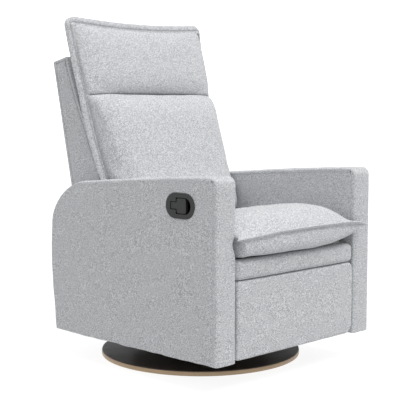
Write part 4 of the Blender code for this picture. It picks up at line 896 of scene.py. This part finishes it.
def add_seat_cushion():
    """A crowned box cushion: the upper sheet rises from the welt, and the lower makes the band and the base.

    Heights run on a smooth line from front to rear, and fall to the border on superellipses.
    """
    rows, columns = int(0.52 / GRID), int(0.56 / GRID)
    u = np.linspace(-1, 1, rows)[:, None] * np.ones((1, columns))
    v = np.linspace(0, 1, columns)[None] ** 1.15 * np.ones((rows, 1))
    front_y, front_z = seat_front(u)
    run = SEAT_REAR - front_y
    behind = v * run
    side = ear_half_width(u, behind) * u
    settled = step(behind, 0, EAR_RUN)
    seam_z = front_z + (SIDE_SEAM_Z - front_z) * settled
    across = np.clip(1 - np.abs(u) ** 3.4, 0, 1) ** 0.45
    tail = np.clip(1 - np.clip((v - 0.91) / 0.09, 0, 1) ** 2.4, 0, 1) ** 0.5
    crown = smooth_line(CROWN_Y, CROWN_Z, SEAT_FRONT + behind * SEAT_RUN / run) - WELT_TOP + front_z - seam_z
    crown += (WELT_TOP - front_z) * settled
    upper = np.stack([side, front_y + behind, seam_z + crown * across * tail], -1)
    length = np.array([0, 0.018, 0.034, 0.052, 0.066, 0.085, 0.12, 0.586])
    out_y = np.array([0, -0.0045, -0.0045, 0.002, 0.014, 0.032, 0.066, 0.532])
    drop = np.array([0, 0.34, 0.66, 0.93, 1.04, 1.06, 1.0, 1.0])
    arc = v * 0.576
    below_y = front_y + smooth_line(length, out_y, arc) * np.where(arc > 0.12, run / SEAT_RUN, 1)
    corner = np.where(u > 0, 3.0, 45.0)
    fall = np.clip(1 - np.abs(u) ** corner, 0, 1) ** 0.5
    close = np.clip(1 - np.clip((v - 0.93) / 0.07, 0, 1) ** 2, 0, 1) ** 0.5
    lower_z = seam_z - (seam_z - SEAT_LOW[2]) * np.interp(arc, length, drop) * fall * close
    lower_side = ear_half_width(u, arc * 2.4) * u
    lower = np.stack([lower_side, np.minimum(below_y, SEAT_REAR), lower_z], -1)
    lower[[0, -1]], lower[:, [0, -1]] = upper[[0, -1]], upper[:, [0, -1]]
    held = arc > 0.085
    sewn_pillow("seat_pad", "chair", ("seat_cushion",), upper, lower, SEAT_SWELL, held)


def add_seat_welt():
    """The doubled welt along the seat's front border: two small rolls, thinner towards the ears."""
    u = np.linspace(-1, 1, 150)
    y, z = seat_front(u)
    path = np.stack([ear_half_width(u, 0.0) * u, y, z + 0.0015], -1)
    tangent = unit(np.gradient(path, axis=0))
    aside = 0.9 * step(np.abs(u), 0.9, 1.0) * np.sign(u)
    outward = unit(np.stack([aside, -np.ones_like(u), -0.25 * np.ones_like(u)], -1))
    outward = unit(outward - (outward * tangent).sum(-1, keepdims=True) * tangent)
    upward = np.cross(tangent, outward)
    turn = np.linspace(0, 2 * pi, 22, endpoint=False)
    n = 0.0040 * np.sin(turn)
    o = 0.0026 + 0.0034 * np.cos(turn) - 0.0010 * hump(n, 0, 0.0010) * (np.cos(turn) > 0)
    section = np.stack([o, n], -1)
    taper = 1 - 0.45 * step(np.abs(u), 0.9, 1.0)
    points, faces = swept(path, outward, upward, section, taper)
    mesh = fill_mesh("seat_welt", points, faces)
    # painted shade in the groove between the two rolls, on their front half
    between = np.tile(hump(n, 0, 0.0009) * (np.cos(turn) > 0), len(path))
    share = nearest_share(points, np.concatenate([between, [0, 0]]), mesh_points(mesh))
    smoothed(place(mesh, "seat_welt", "chair", "grey_fabric", FABRIC, (), share))


# ---------------------------------------------------------------- footrest and rear panel
def front_slab(name, body, node_name, low, high, radii, depth, crown, fullness=2.4):
    """A padded slab standing in X-Z: its front crowns towards -Y and its rear stays flat.

    Without a node's name it stands for none, and is bare cloth over what the frame has there.
    """
    half = (high[1] - low[1]) / 2
    rings, _ = slab((low[0], low[2]), (high[0], high[2]), radii, half, depth, fullness, spacing=0.005)
    x, z, out = rings[..., 0], rings[..., 1], rings[..., 2]
    u = np.clip(2 * (x - low[0]) / (high[0] - low[0]) - 1, -1, 1)
    v = np.clip((z - low[2]) / (high[2] - low[2]), 0, 1)
    bulge = crown * pillow_rise(u, v, 6.0, 3.0, 1.6) * (out > 0)
    points = np.stack([x, (low[1] + high[1]) / 2 - out - bulge, z], -1)
    points[..., 1] += 0.0005 * ripple(points, 0.06, 23) * (out > 0)
    flat, faces = ringed(points)
    mesh = fill_mesh(name, flat, faces)
    pad = place(mesh, name, body, "grey_fabric", FABRIC, (node_name,) if node_name else ())


def turned(name, profile, slot, finish, node_name, sides=256):
    """A round plate: a profile of (radius, height) points turned about the swivel's axis."""
    turn = np.linspace(0, 2 * pi, sides, endpoint=False)
    ring = np.stack([np.cos(turn), np.sin(turn), np.zeros(sides)], -1)
    points, faces = ringed(profile[:, None, :1] * ring[None] + profile[:, None, 1:] * np.array([0, 0, 1.0]))
    place(fill_mesh(name, points, faces), name, "base", slot, finish, (node_name,))


def plate_profile(node_name, edge):
    """Half a plate's section, its edge rounded to that radius, from the axis below to the axis above."""
    low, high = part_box(node_name)
    radius, low_z, high_z = high[0], low[2], high[2]
    turn = np.radians(np.linspace(-90, 0, 7))
    corner = np.stack([radius - edge + edge * np.cos(turn), low_z + edge + edge * np.sin(turn)], -1)
    upper = np.stack([corner[::-1, 0], low_z + high_z - corner[::-1, 1]], -1)
    inner = np.array([0.03, 0.4, 0.8, 0.97, 0.99])[:, None] * [radius, 0]
    return np.concatenate([inner + [0, low_z], corner, upper, inner[::-1] + [0, high_z]])


def add_base():
    """The disc and its cover."""
    turned("plywood_disc", plate_profile("base_disc", 0.0016), "base_wood", DISC_WOOD, "base_disc")
    turned("disc_cover", plate_profile("base_top_plate", 0.0008), "black_steel", BLACK_STEEL, "base_top_plate")


def add_footrest():
    """The footrest's panel and bolster, the cloth on the rail above them, and the panel at the rear."""
    panel_round, roll_round = (0.034, 0.020, 0.014, 0.012), (0.016, 0.018, 0.018, 0.016)
    low, high = PAD_LOW - (0, 0, 0.003), PAD_HIGH - (0.002, 0, 0)
    front_slab("footrest_panel", "footrest", "footrest_pad", low, high, panel_round, 0.009, 0.003, 4.0)
    low, high = ROLL_LOW - (0.012, 0, 0.001), ROLL_HIGH + (0.006, 0, 0.001)
    front_slab("footrest_bolster", "footrest", "footrest_roll", low, high, roll_round, 0.018, 0.006, 3.0)
    reach = np.array([0.0215, 0.0022, 0.0022])
    low, high = RAIL_LOW - reach, RAIL_HIGH + reach
    front_slab("front_rail_cover", "chair", None, low, high, (0.006,) * 4, 0.004, 0.0)
    front_slab("rear_upholstery", "chair", "rear_panel", PANEL_LOW, PANEL_HIGH, (0.008,) * 4, 0.005, 0.0)


# ---------------------------------------------------------------- camera, light, floor
def add_camera():
    """A long lens in front on the handle's side, a little above the seat and looking slightly down."""
    lens = bpy.data.cameras.new("camera")
    lens.lens, lens.sensor_width = 92.33, 36.0
    camera = bpy.data.objects.new("camera", lens)
    camera.location = (-2.25413, -2.25267, 0.77301)
    camera.rotation_euler = (radians(84.7735), 0, radians(-44.989))
    bpy.context.scene.collection.objects.link(camera)
    bpy.context.scene.camera = camera


def add_sun(name, toward, strength, angle):
    """A far soft light whose direction points from the object to it."""
    light = bpy.data.lights.new(name, "SUN")
    light.energy, light.angle = strength, radians(angle)
    lamp = bpy.data.objects.new(name, light)
    x, y, z = np.array(toward) / np.linalg.norm(toward)
    lamp.rotation_euler = (np.arccos(z), 0, np.arctan2(x, -y))
    bpy.context.scene.collection.objects.link(lamp)


def add_studio():
    """A pale floor, a white backdrop that only the camera sees, one soft key light and a dim sky."""
    add_sun("key", (0.10, -0.37, 0.92), 1.95, 45)
    sky = bpy.data.worlds.new("sky")
    sky.use_nodes = True
    sky.node_tree.nodes["Background"].inputs["Color"].default_value = (0.98, 0.99, 1.0, 1)
    sky.node_tree.nodes["Background"].inputs["Strength"].default_value = 0.66
    bpy.context.scene.world = sky
    pale, tree, shader = new_material("pale_floor", Emission_Color=(1, 1, 1, 1), Emission_Strength=0.88)
    shader.inputs["Roughness"].default_value = 0.9
    patches = noise(tree, object_place(tree), 3.0)
    tint = ramp(tree, patches, (0.0, (0.20, 0.20, 0.20)), (1.0, (0.22, 0.22, 0.22)))
    wire(tree, tint, shader.inputs["Base Color"])
    reach = 60.0
    corners = np.array([[-reach, -reach, 0], [reach, -reach, 0], [reach, reach, 0], [-reach, reach, 0]])
    floor_mesh = bpy.data.meshes.new("floor")
    floor_mesh.from_pydata(corners.tolist(), [], [(0, 1, 2, 3)])
    floor_mesh.materials.append(pale)
    floor = bpy.data.objects.new("floor", floor_mesh)
    floor.visible_diffuse = False
    white = new_material("white_backdrop", Emission_Color=(1, 1, 1, 1), Emission_Strength=1.0)[0]
    around, rise = np.meshgrid(np.linspace(0, 2 * pi, 48, endpoint=False), np.radians([-8, 0, 20, 45, 70, 88]))
    dome = 55 * np.stack([np.cos(around) * np.cos(rise), np.sin(around) * np.cos(rise), np.sin(rise)], -1)
    backdrop_points, backdrop_faces = ringed(dome)
    backdrop_mesh = fill_mesh("backdrop", backdrop_points, backdrop_faces)
    backdrop_mesh.materials.append(white)
    backdrop = bpy.data.objects.new("backdrop", backdrop_mesh)
    backdrop.visible_diffuse = backdrop.visible_glossy = backdrop.visible_shadow = False
    backdrop.visible_transmission = backdrop.visible_volume_scatter = False
    for thing in (floor, backdrop):
        bpy.context.scene.collection.objects.link(thing)
    bpy.context.scene.view_settings.view_transform = "Standard"


add_camera()
add_studio()
finish_nodes()
arm_cover(1, "arm_upholstery_left", "arm_cover_left")
arm_cover(-1, "arm_upholstery_right", "arm_cover_right")
add_seam_dots()
add_back_shell()
low, high, ends = BORDER_LOW, CREASE + CREASE_LAP, (None, CREASE_FORWARD)
back_pillow("back_pad", "back_cushion", low, high, 0.069, ends, 0.0, 4.0, 6.0, 0.35)
low, high, ends = CREASE - CREASE_LAP, BORDER_TOP, (CREASE_FORWARD, None)
back_pillow("headrest_pillow", "headrest_cushion", low, high, 0.042, ends, TOP_SAG, 2.4, 4.0, 0.0)
add_back_flange()
add_base()
add_seat_cushion()
add_seat_welt()
add_footrest()
